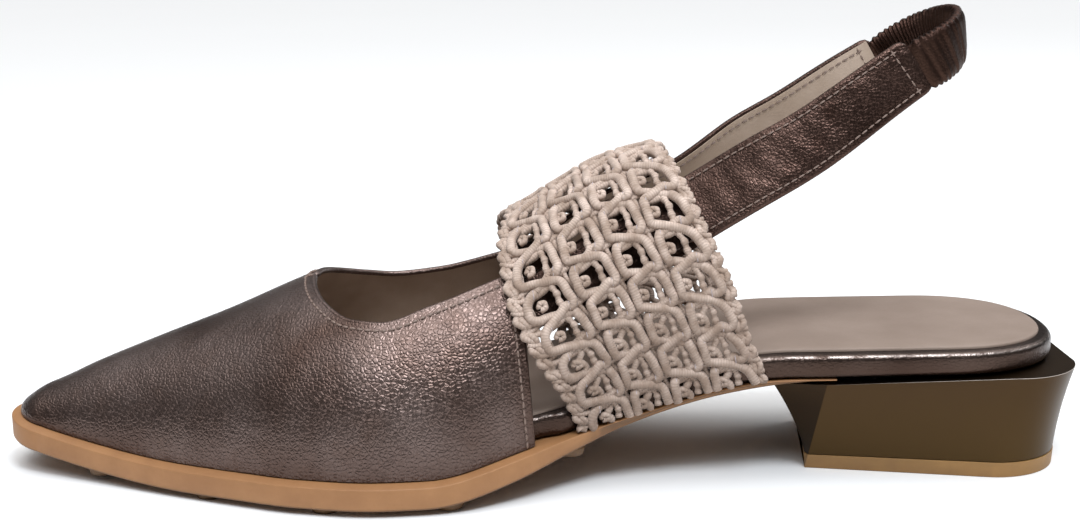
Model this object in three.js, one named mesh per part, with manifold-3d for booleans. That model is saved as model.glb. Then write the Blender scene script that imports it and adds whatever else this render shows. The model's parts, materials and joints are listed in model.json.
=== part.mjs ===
// Slingback sandal with a pointed toe and a low block heel, right shoe.
// Millimetres, +Z up, toe towards -X, outer side towards +Y. The origin is the middle of the heel's
// rest face on the floor.

import * as THREE from "three";
import { mergeVertices } from "three/addons/utils/BufferGeometryUtils.js";
import Module from "manifold-3d";

const wasm = await Module();
wasm.setup();

// Driving dimensions
const shoeLength = 252.5;      // toe tip of the outsole to the back of the last
const ballWidth = 80.5;        // last at the ball joints
const seatHeight = 24.8;       // top of the heel block above the floor
const instepHeight = 74.6;     // last under the instep band
const toeSpring = 6.2;         // rise of the outsole at the toe tip
const meetingGap = 0.3;        // left between pieces that meet
const sockGap = 0.39;          // left under the sock, whose plan is coarser than the footbed's curve
const tinyStep = 0.01;

const vampWall = 1.5;
const footbedThickness = 5.6;
const sockThickness = 0.8;
const sockInset = 3.0;         // wrapped rim left around the sock
const footbedRound = 1.6;      // rounding of the footbed's wrapped edges

const soleEdgeHeight = 5.3;    // side of the outsole at the forefoot
const waistEdgeHeight = 2.1;   // side of the outsole at the waist
const tailEdgeHeight = 1.1;    // side of the outsole where it ends over the heel
const ledgeWidth = 2.2;        // outsole beyond the vamp
const tailInset = 0.8;         // outsole inside the footbed where it ends over the heel
const ledgeSlope = 1.8;        // width of the ledge's sloping face
const ledgeDrop = 0.7;         // the ledge slopes down to its edge
const waistFlare = 2.0;        // the waist's edge leans outwards
const soleEdgeBevel = 0.7;

const studRadius = 3.6;
const studHeight = 1.5;
const studRoot = 1.0;          // length of a stud inside the outsole
const studPitch = 27.8;
const studRows = 10;

const topLiftHeight = 3.7;
const liftSwell = 0.15;        // top lift beyond the block
const heelBaseLength = 60.8;
const heelTopLength = 61.2;    // from the side's front corner to the back
const heelFrontHalfWidth = 17.9;
const heelBackHalfWidth = 27.4;
const heelTopFrontHalfWidth = 27.8;
const heelTopBackHalfWidth = 30.1;
const breastReach = 10.7;      // the breast leans forward from base to top

const bandWall = 1.9;
const strandRelief = 0.8;      // raised strips over the band's wall
const bandRows = 16;
const bandHoles = 4;           // holes across the band
const bandHoleShare = 0.43;    // of the pitch, across and along

const slingWidth = 16.4;
const slingRootWidth = 11.0;   // under the vamp
const slingEndWidth = 13.6;
const slingThickness = 1.8;
const elasticWidth = 12.0;
const elasticThickness = 3.0;
const elasticGap = 1.2;    // gap along the shoe between a leg's end and the elastic
const ruffleDepth = 0.35;
const ruffleCount = 13;

// Places along the shoe, as shares of its length from the toe tip
const heelCentre = 0.8733;
const ballFront = 0.192;
const ballBack = 0.414;
const seatFront = 0.786;
const throat = 0.294;
const vampRear = 0.507;
const footbedStart = 0.045;
const firstStud = 0.099;
const soleTail = 0.784;

const toeX = -heelCentre * shoeLength;
const xAt = (along) => toeX + along * shoeLength;
const alongAt = (x) => (x - toeX) / shoeLength;
const lerp = (a, b, t) => a + (b - a) * t;
const clamp01 = (t) => Math.min(1, Math.max(0, t));
const blend = (t) => clamp01(t) ** 2 * (3 - 2 * clamp01(t));
const blendOver = (x, start, end) => blend((x - xAt(start)) / (xAt(end) - xAt(start)));

// Half widths of the last's plan, as shares of the ball width
const plan = [
  { along: 0.038, inner: 0.144, outer: 0.137 },
  { along: 0.101, inner: 0.235, outer: 0.222 },
  { along: 0.168, inner: 0.337, outer: 0.304 },
  { along: 0.24, inner: 0.44, outer: 0.38 },
  { along: 0.299, inner: 0.512, outer: 0.425 },
  { along: 0.366, inner: 0.55, outer: 0.45 },
  { along: 0.43, inner: 0.533, outer: 0.45 },
  { along: 0.485, inner: 0.472, outer: 0.429 },
  { along: 0.541, inner: 0.388, outer: 0.389 },
  { along: 0.596, inner: 0.339, outer: 0.357 },
  { along: 0.652, inner: 0.332, outer: 0.343 },
  { along: 0.715, inner: 0.345, outer: 0.348 },
  { along: 0.786, inner: 0.355, outer: 0.357 },
  { along: 0.893, inner: 0.353, outer: 0.355 },
];

// Ridge of the last: its height as a share of the instep height, the roundness of the section under
// it, and how far the section swells past its foot, as a share of the ball width
const ridge = [
  { along: 0.017, height: 0.238, fullness: 2.0, swell: 0.0 },
  { along: 0.038, height: 0.26, fullness: 2.0, swell: 0.0 },
  { along: 0.087, height: 0.333, fullness: 2.0, swell: 0.0 },
  { along: 0.147, height: 0.413, fullness: 2.0, swell: 0.0 },
  { along: 0.216, height: 0.501, fullness: 2.02, swell: 0.0 },
  { along: 0.275, height: 0.586, fullness: 2.05, swell: 0.0 },
  { along: 0.309, height: 0.632, fullness: 2.05, swell: 0.0 },
  { along: 0.37, height: 0.7, fullness: 2.05, swell: 0.0 },
  { along: 0.438, height: 0.737, fullness: 2.07, swell: 0.0 },
  { along: 0.489, height: 0.775, fullness: 2.1, swell: 0.003 },
  { along: 0.537, height: 0.862, fullness: 2.25, swell: 0.018 },
  { along: 0.578, height: 0.938, fullness: 2.4, swell: 0.028 },
  { along: 0.62, height: 0.978, fullness: 2.5, swell: 0.032 },
  { along: 0.675, height: 1.0, fullness: 2.5, swell: 0.03 },
  { along: 0.723, height: 1.015, fullness: 2.5, swell: 0.03 },
];

// Height of the vamp's topline on each side, as shares of the instep height
const topline = [
  { along: 0.297, inner: 0.623, outer: 0.626 },
  { along: 0.315, inner: 0.584, outer: 0.59 },
  { along: 0.342, inner: 0.552, outer: 0.559 },
  { along: 0.37, inner: 0.548, outer: 0.543 },
  { along: 0.414, inner: 0.588, outer: 0.556 },
  { along: 0.473, inner: 0.653, outer: 0.606 },
  { along: 0.493, inner: 0.676, outer: 0.628 },
];

// Front and rear edges of the instep band over half its girth, foot to ridge
const bandEdges = [
  { girth: 0.0, front: 0.545, rear: 0.721 },
  { girth: 0.1, front: 0.53, rear: 0.705 },
  { girth: 0.25, front: 0.507, rear: 0.69 },
  { girth: 0.5, front: 0.483, rear: 0.664 },
  { girth: 0.75, front: 0.477, rear: 0.646 },
  { girth: 1.0, front: 0.488, rear: 0.632 },
];

// Centre of each sling leg behind the band: place along the shoe, half width as a share of the ball
// width, height as a share of the instep height and lean from the vertical in degrees
const slingLegs = {
  inner: [
    { along: 0.711, side: 0.256, height: 0.967, lean: 25 },
    { along: 0.759, side: 0.26, height: 1.062, lean: 21 },
    { along: 0.813, side: 0.251, height: 1.191, lean: 15 },
    { along: 0.856, side: 0.237, height: 1.291, lean: 10 },
  ],
  outer: [
    { along: 0.711, side: 0.256, height: 0.965, lean: 25 },
    { along: 0.759, side: 0.26, height: 1.054, lean: 21 },
    { along: 0.813, side: 0.251, height: 1.17, lean: 15 },
    { along: 0.856, side: 0.237, height: 1.257, lean: 10 },
  ],
};
// Sling legs where they run on the last, hidden by the band: heights at these places
const slingRoot = [
  { along: 0.478, height: 0.575, depth: 3.8, lie: 0.9 },
  { along: 0.507, height: 0.61, depth: 3.8, lie: 0.9 },
  { along: 0.54, height: 0.668, depth: 4.0, lie: 0.9 },
  { along: 0.59, height: 0.757, depth: 3.95, lie: 0.95 },
  { along: 0.64, height: 0.85, depth: 3.95, lie: 0.95 },
];
const slingBack = { along: 0.909, height: 1.37, lean: 6 };

// Smooth line through a table's column, with no overshoot between its rows
function column(rows, key, name) {
  const xs = rows.map((row) => row[key]);
  const ys = rows.map((row) => row[name]);
  const slopes = xs.slice(1).map((x, i) => (ys[i + 1] - ys[i]) / (x - xs[i]));
  const tangents = ys.map((_, i) => {
    if (i === 0) return slopes[0];
    if (i === ys.length - 1) return slopes[i - 1];
    if (slopes[i - 1] * slopes[i] <= 0) return 0;
    return (2 * slopes[i - 1] * slopes[i]) / (slopes[i - 1] + slopes[i]);
  });
  return (x) => {
    if (x <= xs[0]) return ys[0];
    if (x >= xs[xs.length - 1]) return ys[ys.length - 1];
    const i = xs.findIndex((value) => value > x) - 1;
    const span = xs[i + 1] - xs[i];
    const t = (x - xs[i]) / span;
    const rise = (t ** 3 - 2 * t ** 2 + t) * tangents[i] + (t ** 3 - t ** 2) * tangents[i + 1];
    return ys[i] * (1 - blend(t)) + ys[i + 1] * blend(t) + rise * span;
  };
}

const planInner = column(plan, "along", "inner");
const planOuter = column(plan, "along", "outer");
const ridgeHeight = column(ridge, "along", "height");
const ridgeFullness = column(ridge, "along", "fullness");
const ridgeSwell = column(ridge, "along", "swell");
const toplineInner = column(topline, "along", "inner");
const toplineOuter = column(topline, "along", "outer");
const bandFront = column(bandEdges, "girth", "front");
const bandRear = column(bandEdges, "girth", "rear");

// Outsole heights
const springExponent = 1.85;
const archExponent = 1.45;
const archRise = seatHeight - studHeight - tailEdgeHeight;

function treadHeight(x) {
  if (x < xAt(ballFront)) {
    return studHeight + toeSpring * ((xAt(ballFront) - x) / (xAt(ballFront) - toeX)) ** springExponent;
  }
  const run = clamp01((x - xAt(ballBack)) / (xAt(seatFront) - xAt(ballBack)));
  return studHeight + archRise * Math.sin((run * Math.PI) / 2) ** archExponent;
}

function edgeHeight(x) {
  const waist = lerp(waistEdgeHeight, tailEdgeHeight, blendOver(x, 0.7, soleTail));
  return lerp(soleEdgeHeight, waist, blendOver(x, 0.455, 0.64));
}
const ledge = (x) => lerp(ledgeWidth, -tailInset, blendOver(x, 0.5, 0.79));
const flare = (x) => waistFlare * blendOver(x, 0.48, 0.63);
const drop = (x) => ledgeDrop * (1 - blendOver(x, 0.48, 0.6));
const soleTop = (x) => treadHeight(x) + edgeHeight(x) + drop(x);

// Half width of the last's plan on one side (-1 inner, 1 outer), closed round at toe and seat
const toeClosure = 9.0;
const seatClosure = 29.0;
const seatOverhang = 2.2;      // footbed behind the last
const seatRoundness = 2.2;
const ridgeShift = -2.0;       // the ridge lies towards the inner side
const roundTurns = 6;          // stations on each round end
const footbedFrontRound = 5.0;
const lastTip = toeX + ledgeWidth;
const seatBack = xAt(1) + seatOverhang;

function halfWidth(side, x) {
  const along = alongAt(x);
  const width = ballWidth * (side < 0 ? planInner(along) : planOuter(along));
  const fromTip = clamp01((lastTip + toeClosure - x) / toeClosure);
  const fromBack = clamp01((x - seatBack + seatClosure) / seatClosure);
  return width * Math.sqrt(1 - fromTip ** 2) * (1 - fromBack ** seatRoundness) ** (1 / seatRoundness);
}

// Stations close together at both round ends
function roundStations(frontX, rearX, frontRadius, rearRadius, count) {
  const xs = [];
  const turn = roundTurns;
  for (let k = 0; k < turn; k++) xs.push(frontX + frontRadius * (1 - Math.cos((k / turn) * (Math.PI / 2))));
  const middle = count - turn * (rearRadius > 0 ? 2 : 1);
  for (let k = 0; k <= middle; k++) xs.push(lerp(frontX + frontRadius, rearX - rearRadius, k / middle));
  if (rearRadius > 0) {
    for (let k = 1; k <= turn; k++) xs.push(rearX - rearRadius * (1 - Math.sin((k / turn) * (Math.PI / 2))));
  }
  return xs;
}

// A closed loop of plan points: outer side from front to rear, then inner side from rear to front,
// each moved outwards from the last's plan by reach(x)
function planLoop(xs, reach, tipX, tailX) {
  const normalAt = (side, x) => {
    const step = 0.05;
    const a = Math.max(x - step, tipX + 0.001);
    const b = Math.min(x + step, tailX - 0.001);
    const slope = (halfWidth(side, b) - halfWidth(side, a)) / (b - a);
    return new THREE.Vector2(-slope, 1).normalize();
  };
  const sidePoints = (side) => xs.map((x) => {
    const normal = normalAt(side, x);
    const out = reach(x);
    return [x + normal.x * out, side * (halfWidth(side, x) + normal.y * out)];
  });
  return { outer: sidePoints(1), inner: sidePoints(-1) };
}

// Builds a solid from loops stacked from bottom to top. Each level holds outer and inner rows of
// points, station by station; first and last levels are closed by a ladder across the piece.
function stackedSolid(levels) {
  const positions = [];
  const indices = [];
  const loops = levels.map((level) => {
    const ring = [...level.outer, ...level.inner.slice().reverse()];
    return ring.map((point) => positions.push(...point) / 3 - 1);
  });
  const size = loops[0].length;
  for (let k = 0; k + 1 < loops.length; k++) {
    for (let i = 0; i < size; i++) {
      const j = (i + 1) % size;
      indices.push(loops[k][i], loops[k][j], loops[k + 1][j]);
      indices.push(loops[k][i], loops[k + 1][j], loops[k + 1][i]);
    }
  }
  const ladder = (loop, top) => {
    for (let i = 0; i + 1 < size / 2; i++) {
      const quad = [loop[i], loop[size - 1 - i], loop[size - 2 - i], loop[i + 1]];
      const [a, b, c, d] = top ? quad.reverse() : quad;
      indices.push(a, b, c, a, c, d);
    }
  };
  ladder(loops[0], false);
  ladder(loops[loops.length - 1], true);
  return closedGeometry(positions, indices);
}

// Merges equal corners, drops empty triangles and turns the faces outwards
function closedGeometry(positions, indices) {
  const raw = new THREE.BufferGeometry();
  raw.setAttribute("position", new THREE.Float32BufferAttribute(positions, 3));
  raw.setIndex(indices);
  const merged = mergeVertices(raw, 1e-4);
  const index = merged.getIndex().array;
  const point = merged.getAttribute("position");
  const kept = [];
  let volume = 0;
  const corners = [new THREE.Vector3(), new THREE.Vector3(), new THREE.Vector3()];
  for (let i = 0; i < index.length; i += 3) {
    const [a, b, c] = [index[i], index[i + 1], index[i + 2]];
    if (a === b || b === c || c === a) continue;
    kept.push(a, b, c);
    corners.forEach((corner, k) => corner.fromBufferAttribute(point, [a, b, c][k]));
    volume += corners[0].dot(corners[1].clone().cross(corners[2]));
  }
  if (volume < 0) kept.reverse();
  const geometry = new THREE.BufferGeometry();
  geometry.setAttribute("position", point.clone());
  geometry.setIndex(kept);
  return geometry;
}

function toManifold(geometry) {
  const vertProperties = new Float32Array(geometry.getAttribute("position").array);
  const triVerts = new Uint32Array(geometry.getIndex().array);
  return new wasm.Manifold(new wasm.Mesh({ numProp: 3, vertProperties, triVerts }));
}

function fromManifold(solid) {
  const mesh = solid.getMesh();
  const geometry = new THREE.BufferGeometry();
  geometry.setAttribute("position", new THREE.BufferAttribute(new Float32Array(mesh.vertProperties), 3));
  geometry.setIndex(new THREE.BufferAttribute(new Uint32Array(mesh.triVerts), 1));
  return geometry;
}

function plainManifold(geometry) {
  geometry.deleteAttribute("normal");
  geometry.deleteAttribute("uv");
  return toManifold(mergeVertices(geometry, 1e-4));
}

// Level of a stacked solid: a plan loop with a height worked out from the last's x
function level(loop, heightAt) {
  const lift = (point) => [point[0], point[1], heightAt(point[0])];
  return { outer: loop.outer.map(lift), inner: loop.inner.map(lift) };
}

function outsole() {
  const tail = xAt(soleTail);
  const xs = roundStations(lastTip, tail, toeClosure, 0, 40);
  const loopAt = (reach) => planLoop(xs, reach, lastTip, tail);
  const edge = (x) => ledge(x) - flare(x);
  const body = toManifold(stackedSolid([
    level(loopAt((x) => edge(x) - soleEdgeBevel), treadHeight),
    level(loopAt(edge), (x) => treadHeight(x) + soleEdgeBevel),
    level(loopAt(ledge), (x) => treadHeight(x) + edgeHeight(x)),
    level(loopAt((x) => ledge(x) - ledgeSlope), soleTop),
  ]));
  return fromManifold(studs().reduce((whole, stud) => whole.add(stud), body));
}

// Round studs across the tread, rows of two or three with pairs half a pitch between them
function studs() {
  const made = [];
  for (let row = 0; row < studRows; row++) {
    const x = xAt(firstStud) + (row * studPitch) / 2;
    const across = row % 2 === 0 ? [-1, 0, 1] : [-0.5, 0.5];
    for (const place of across) {
      const side = place < 0 ? -1 : 1;
      const room = halfWidth(side, x) + ledge(x) - flare(x) - 1.4 * studRadius;
      if (place === 0 && room < 5 * studRadius) continue;
      const stud = new THREE.CylinderGeometry(0.85 * studRadius, studRadius, studHeight + studRoot, 10);
      stud.rotateX(-Math.PI / 2);
      stud.translate(x, place * room, treadHeight(x) + (studRoot - studHeight) / 2);
      made.push(plainManifold(stud));
    }
  }
  return made;
}

// Footbed: narrow inside the vamp's wall, out to the last's edge behind it, over outsole and heel
const vampInset = vampWall + meetingGap;
function footbedBottom(x) {
  const onSole = soleTop(x) + meetingGap;
  return lerp(onSole, seatHeight + meetingGap, blendOver(x, 0.72, soleTail));
}
const footbedDepth = (x) => footbedThickness * lerp(0.5, 1, blendOver(x, 0.05, 0.5));
const footbedTop = (x) => footbedBottom(x) + footbedDepth(x);

function footbed() {
  const front = xAt(footbedStart);
  const inset = (x) => lerp(-vampInset - footbedRound, 0, blendOver(x, vampRear + 0.006, vampRear + 0.026));
  const xs = roundStations(front, seatBack - tinyStep, footbedFrontRound, seatClosure, 32);
  const round = (x, share) => share * footbedRound * (footbedDepth(x) / footbedThickness);
  const levelAt = (pull, base, rise) => level(
    planLoop(xs, (x) => inset(x) - round(x, pull), lastTip, seatBack),
    (x) => base(x) + round(x, rise),
  );
  return stackedSolid([
    levelAt(1, footbedBottom, 0),
    levelAt(0.25, footbedBottom, 0.28),
    levelAt(0, footbedBottom, 0.94),
    levelAt(0, footbedTop, -0.94),
    levelAt(0.25, footbedTop, -0.28),
    levelAt(1, footbedTop, 0),
  ]);
}

function sockLining() {
  const front = xAt(footbedStart + 0.03);
  const inset = (x) => -sockInset - lerp(vampInset, 0, blendOver(x, vampRear, vampRear + 0.03));
  const xs = roundStations(front, seatBack - tinyStep, footbedFrontRound, seatClosure, 32);
  const loop = planLoop(xs, inset, lastTip, seatBack);
  return stackedSolid([
    level(loop, (x) => footbedTop(x) + sockGap),
    level(loop, (x) => footbedTop(x) + sockGap + sockThickness),
  ]);
}

// Heel outline at a share of its height, front corners cut back by bevels that grow upwards
const heelFrontX = -0.457 * heelBaseLength;
const heelCornerRadius = 15;
const heelBackEase = 1.2;      // the back's corners start a little ahead of its middle
const breastSetback = 0.5;     // breast behind the side's front corner at the base
const breastInset = 1.2;       // breast narrower than the base
const breastSpread = 3.5;      // breast wider than the base at the top
const heelLevels = 6;
const heelSkew = 5.2;           // the breast's outer foot lies further back

function heelOutline(share, swell) {
  const frontX = lerp(heelFrontX, -0.399 * heelTopLength, share);
  const backX = lerp(heelFrontX + heelBaseLength, frontX + heelTopLength, share) + swell;
  const frontHalf = lerp(heelFrontHalfWidth, heelTopFrontHalfWidth, share) + swell;
  const backHalf = lerp(heelBackHalfWidth, heelTopBackHalfWidth, share) + swell;
  const breastX = heelFrontX + breastSetback - breastReach * share ** 1.6 - swell;
  const breastHalf = lerp(heelFrontHalfWidth - breastInset, heelFrontHalfWidth + breastSpread, share);
  const turn = 7;
  const side = (sign) => {
    const back = sign > 0 ? heelSkew * (1 - share) : 0;
    const points = [
      [breastX + back, sign * (breastHalf - 0.5 * back)],
      [frontX + 0.8 * back, sign * frontHalf],
    ];
    for (let k = 0; k <= turn; k++) {
      const angle = (k / turn) * (Math.PI / 2);
      const x = backX - heelCornerRadius * (1 - Math.sin(angle)) - heelBackEase * Math.cos(angle);
      points.push([x, sign * (backHalf - heelCornerRadius * (1 - Math.cos(angle)))]);
    }
    return points;
  };
  return { outer: side(1), inner: side(-1) };
}

const heelShare = (z) => z / seatHeight;

function heelBlock() {
  const levels = [];
  for (let k = 0; k <= heelLevels; k++) {
    const z = lerp(topLiftHeight + meetingGap, seatHeight, k / heelLevels);
    levels.push(level(heelOutline(heelShare(z), 0), () => z));
  }
  const block = toManifold(stackedSolid(levels));
  return fromManifold(block.subtract(tailRoom()));
}

// Room above the heel's front for the outsole's tail, reaching past the block on every side
const tailRoomSpare = 5;

function tailRoom() {
  const tail = xAt(soleTail) + meetingGap;
  const front = heelFrontX - breastReach - tailRoomSpare;
  const steps = 8;
  const reach = heelTopBackHalfWidth + tailRoomSpare;
  const row = (sign) => {
    const points = [];
    for (let k = 0; k <= steps; k++) points.push([lerp(front, tail, k / steps), sign * reach]);
    return points;
  };
  const loop = { outer: row(1), inner: row(-1) };
  return toManifold(stackedSolid([
    level(loop, (x) => treadHeight(x) - meetingGap),
    level(loop, () => seatHeight + tailRoomSpare),
  ]));
}

function topLift() {
  return stackedSolid([0, topLiftHeight].map((z) => level(heelOutline(heelShare(z), liftSwell), () => z)));
}

// Point of the last's surface: share runs from the inner foot (-1) over the ridge (0) to the outer
// foot (1)
const toeHeightClosure = 7.5;
const surfaceFoot = (x) => soleTop(x) + meetingGap;

function surfacePoint(x, share) {
  const along = alongAt(x);
  const side = share < 0 ? -1 : 1;
  const angle = (1 - Math.abs(share)) * (Math.PI / 2);
  const fullness = ridgeFullness(along);
  const foot = surfaceFoot(x);
  const fromTip = clamp01((lastTip + toeHeightClosure - x) / toeHeightClosure);
  const crown = (instepHeight * ridgeHeight(along) - foot) * Math.sqrt(1 - fromTip ** 2);
  const out = halfWidth(side, x) * Math.max(Math.cos(angle), 0) ** (2 / fullness);
  const bulge = ballWidth * ridgeSwell(along) * Math.sin(2 * angle);
  const shift = ridgeShift * Math.sin(angle) * (halfWidth(side, x) / (0.5 * ballWidth));
  return new THREE.Vector3(x, side * (out + bulge) + shift, foot + crown * Math.sin(angle) ** (2 / fullness));
}

// Share of the arc at which the surface reaches a height
function shareAtHeight(x, height) {
  const along = alongAt(x);
  const foot = surfaceFoot(x);
  const level01 = clamp01((height - foot) / (instepHeight * ridgeHeight(along) - foot));
  return 1 - Math.asin(level01 ** (ridgeFullness(along) / 2)) / (Math.PI / 2);
}

function surfaceNormal(x, share) {
  const dx = 0.4;
  const ds = 0.01;
  const towards = share > 1 - ds ? -1 : 1;
  const from = surfacePoint(x, share);
  const alongX = surfacePoint(x + dx, share).sub(surfacePoint(x - dx, share));
  const around = surfacePoint(x, share + towards * ds).sub(from).multiplyScalar(towards);
  const normal = around.cross(alongX).normalize();
  const outward = new THREE.Vector3(0, from.y, from.z - surfaceFoot(x));
  return normal.dot(outward) < 0 ? normal.negate() : normal;
}

function offsetPoint(x, share, distance) {
  if (x - lastTip < 0.05) return new THREE.Vector3(x - distance, surfacePoint(x, share).y, surfaceFoot(x - distance));
  const normal = surfaceNormal(x, share);
  if (Math.abs(share) > 0.999) {
    normal.z = 0;
    normal.normalize();
  }
  const point = surfacePoint(x, share).addScaledVector(normal, distance);
  if (Math.abs(share) > 0.999) point.z = surfaceFoot(point.x);
  return point;
}

// Closes two grids of points, an outer and an inner face, into one wall. A cell is left out where
// open(i, j) is true, and the wall's rims are made wherever a kept cell meets an open one.
function wallFromGrids(outer, inner, open) {
  const rows = outer.length;
  const columns = outer[0].length;
  const positions = [];
  const indices = [];
  const number = (grid) => grid.map((line) => line.map((p) => positions.push(p.x, p.y, p.z) / 3 - 1));
  const a = number(outer);
  const b = number(inner);
  const filled = (i, j) => i >= 0 && j >= 0 && i < rows - 1 && j < columns - 1 && !open(i, j);
  const quad = (p, q, r, s) => indices.push(p, q, r, p, r, s);
  for (let i = 0; i < rows - 1; i++) {
    for (let j = 0; j < columns - 1; j++) {
      if (!filled(i, j)) continue;
      quad(a[i][j], a[i][j + 1], a[i + 1][j + 1], a[i + 1][j]);
      quad(b[i][j], b[i + 1][j], b[i + 1][j + 1], b[i][j + 1]);
      if (!filled(i - 1, j)) quad(a[i][j], b[i][j], b[i][j + 1], a[i][j + 1]);
      if (!filled(i + 1, j)) quad(a[i + 1][j + 1], b[i + 1][j + 1], b[i + 1][j], a[i + 1][j]);
      if (!filled(i, j - 1)) quad(a[i + 1][j], b[i + 1][j], b[i][j], a[i][j]);
      if (!filled(i, j + 1)) quad(a[i][j + 1], b[i][j + 1], b[i + 1][j + 1], a[i + 1][j + 1]);
    }
  }
  return closedGeometry(positions, indices);
}

// Vamp: full arcs from the toe to the throat, then two wings whose tops follow the topline
const vampArc = 20;            // cells over the arc, foot to foot
const rearLean = 0.095;        // the rear edge leans forward as it rises

function vamp() {
  const throatX = xAt(throat);
  const half = vampArc / 2;
  const toeStations = roundStations(lastTip, throatX, toeHeightClosure, 0, 17);
  const wingSteps = 13;
  const spots = toeStations.map((x) => {
    const line = [];
    for (let j = 0; j <= vampArc; j++) line.push({ x, share: (j - half) / half });
    line.splice(half, 0, { ...line[half] });
    return line;
  });
  const rearX = (z) => xAt(vampRear) - rearLean * (z - surfaceFoot(xAt(vampRear)));
  const toplineHeight = (side, x) => instepHeight * (side < 0 ? toplineInner : toplineOuter)(alongAt(x));
  for (let i = 1; i <= wingSteps; i++) {
    const run = (i / wingSteps) ** 1.7;
    const wing = (side) => {
      const corner = topline[topline.length - 1];
      const cornerX = rearX(instepHeight * (side < 0 ? corner.inner : corner.outer));
      const topX = lerp(throatX, cornerX, run);
      const throatBlend = clamp01((alongAt(topX) - throat) / (topline[0].along - throat));
      const ridgeZ = instepHeight * ridgeHeight(alongAt(topX));
      const height = lerp(ridgeZ, toplineHeight(side, topX), throatBlend);
      const topShare = shareAtHeight(topX, height);
      const points = [];
      for (let j = 0; j <= half; j++) {
        const share = lerp(topShare, 1, j / half);
        const endX = lerp(cornerX, xAt(vampRear), j / half);
        points.push({ x: lerp(throatX, endX, run), share: side * share });
      }
      return points;
    };
    spots.push([...wing(-1).reverse(), ...wing(1)]);
  }
  const grid = (distance) => spots.map((line) => line.map((s) => offsetPoint(s.x, s.share, distance)));
  const slit = (i, j) => j === half && i >= toeStations.length - 1;
  return wallFromGrids(grid(0), grid(-vampWall), slit);
}

// Instep band: cells of strands around rows of holes, foot to foot over the ridge
const bandLift = meetingGap + 0.1;
const bandEdgeShare = 0.145;

function bandColumns() {
  const bars = bandHoles - 1;
  const pitch = (1 - 2 * bandEdgeShare) / (bandHoles * bandHoleShare + bars * (1 - bandHoleShare));
  const hole = pitch * bandHoleShare;
  const bar = pitch * (1 - bandHoleShare);
  const columns = [{ at: 0, raised: 0 }, { at: bandEdgeShare / 2, raised: 1 }];
  let at = bandEdgeShare;
  for (let k = 0; k < bandHoles; k++) {
    columns.push({ at, raised: 0, hole: true });
    at += hole;
    if (k < bars) {
      for (let part = 0; part < 4; part++) columns.push({ at: at + (bar * part) / 4, raised: part % 2 });
      at += bar;
    }
  }
  columns.push({ at, raised: 0 }, { at: 1 - bandEdgeShare / 2, raised: 1 }, { at: 1, raised: 0 });
  return columns;
}

function bandRowStations() {
  const pitch = 1 / (bandRows + 0.6);
  const stations = [];
  for (let row = 0; row < bandRows; row++) {
    const at = row * pitch;
    stations.push({ at, raised: 0 }, { at: at + pitch * 0.3, raised: 1 });
    stations.push({ at: at + pitch * 0.6, raised: 0, hole: true });
  }
  stations.push({ at: bandRows * pitch, raised: 0 }, { at: 1 - pitch * 0.3, raised: 1 }, { at: 1, raised: 0 });
  return stations;
}

// Places on the surface at even steps of girth along the middle of the band
function girthShares(stations) {
  const samples = 200;
  const lengths = [0];
  const place = (k) => {
    const share = -1 + (2 * k) / samples;
    const girth = 1 - Math.abs(share);
    return surfacePoint(xAt(lerp(bandFront(girth), bandRear(girth), 0.5)), share);
  };
  for (let k = 1; k <= samples; k++) lengths.push(lengths[k - 1] + place(k).distanceTo(place(k - 1)));
  const total = lengths[samples];
  return stations.map(({ at }) => {
    const k = Math.min(samples - 1, Math.max(0, lengths.findIndex((length) => length >= at * total) - 1));
    const part = (at * total - lengths[k]) / (lengths[k + 1] - lengths[k]);
    return -1 + (2 * (k + part)) / samples;
  });
}

function instepBand() {
  const columns = bandColumns();
  const rows = bandRowStations();
  const shares = girthShares(rows);
  const xOf = (share, across) => {
    const girth = 1 - Math.abs(share);
    return xAt(lerp(bandFront(girth), bandRear(girth), across));
  };
  const face = (relief) => rows.map((row, i) => columns.map((line) => {
    const ridgeHere = Math.max(row.raised * 0.8, line.raised);
    return offsetPoint(xOf(shares[i], line.at), shares[i], relief(ridgeHere));
  }));
  const outer = face((raised) => bandLift + bandWall + strandRelief * raised);
  const inner = face(() => bandLift);
  return wallFromGrids(outer, inner, (i, j) => Boolean(rows[i].hole && columns[j].hole));
}

// Sling leg: a flat strap whose root lies on the last under vamp and band
function slingPath(side) {
  const points = slingRoot.map((row) => {
    const x = xAt(row.along);
    const height = instepHeight * row.height;
    const share = side * shareAtHeight(x, height);
    const normal = surfaceNormal(x, share);
    const lean = row.lie * Math.asin(normal.z);
    return { centre: surfacePoint(x, share).addScaledVector(normal, -row.depth), lean };
  });
  for (const row of side < 0 ? slingLegs.inner : slingLegs.outer) {
    points.push({
      centre: new THREE.Vector3(xAt(row.along), side * row.side * ballWidth, row.height * instepHeight),
      lean: THREE.MathUtils.degToRad(row.lean),
    });
  }
  return points;
}

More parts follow.
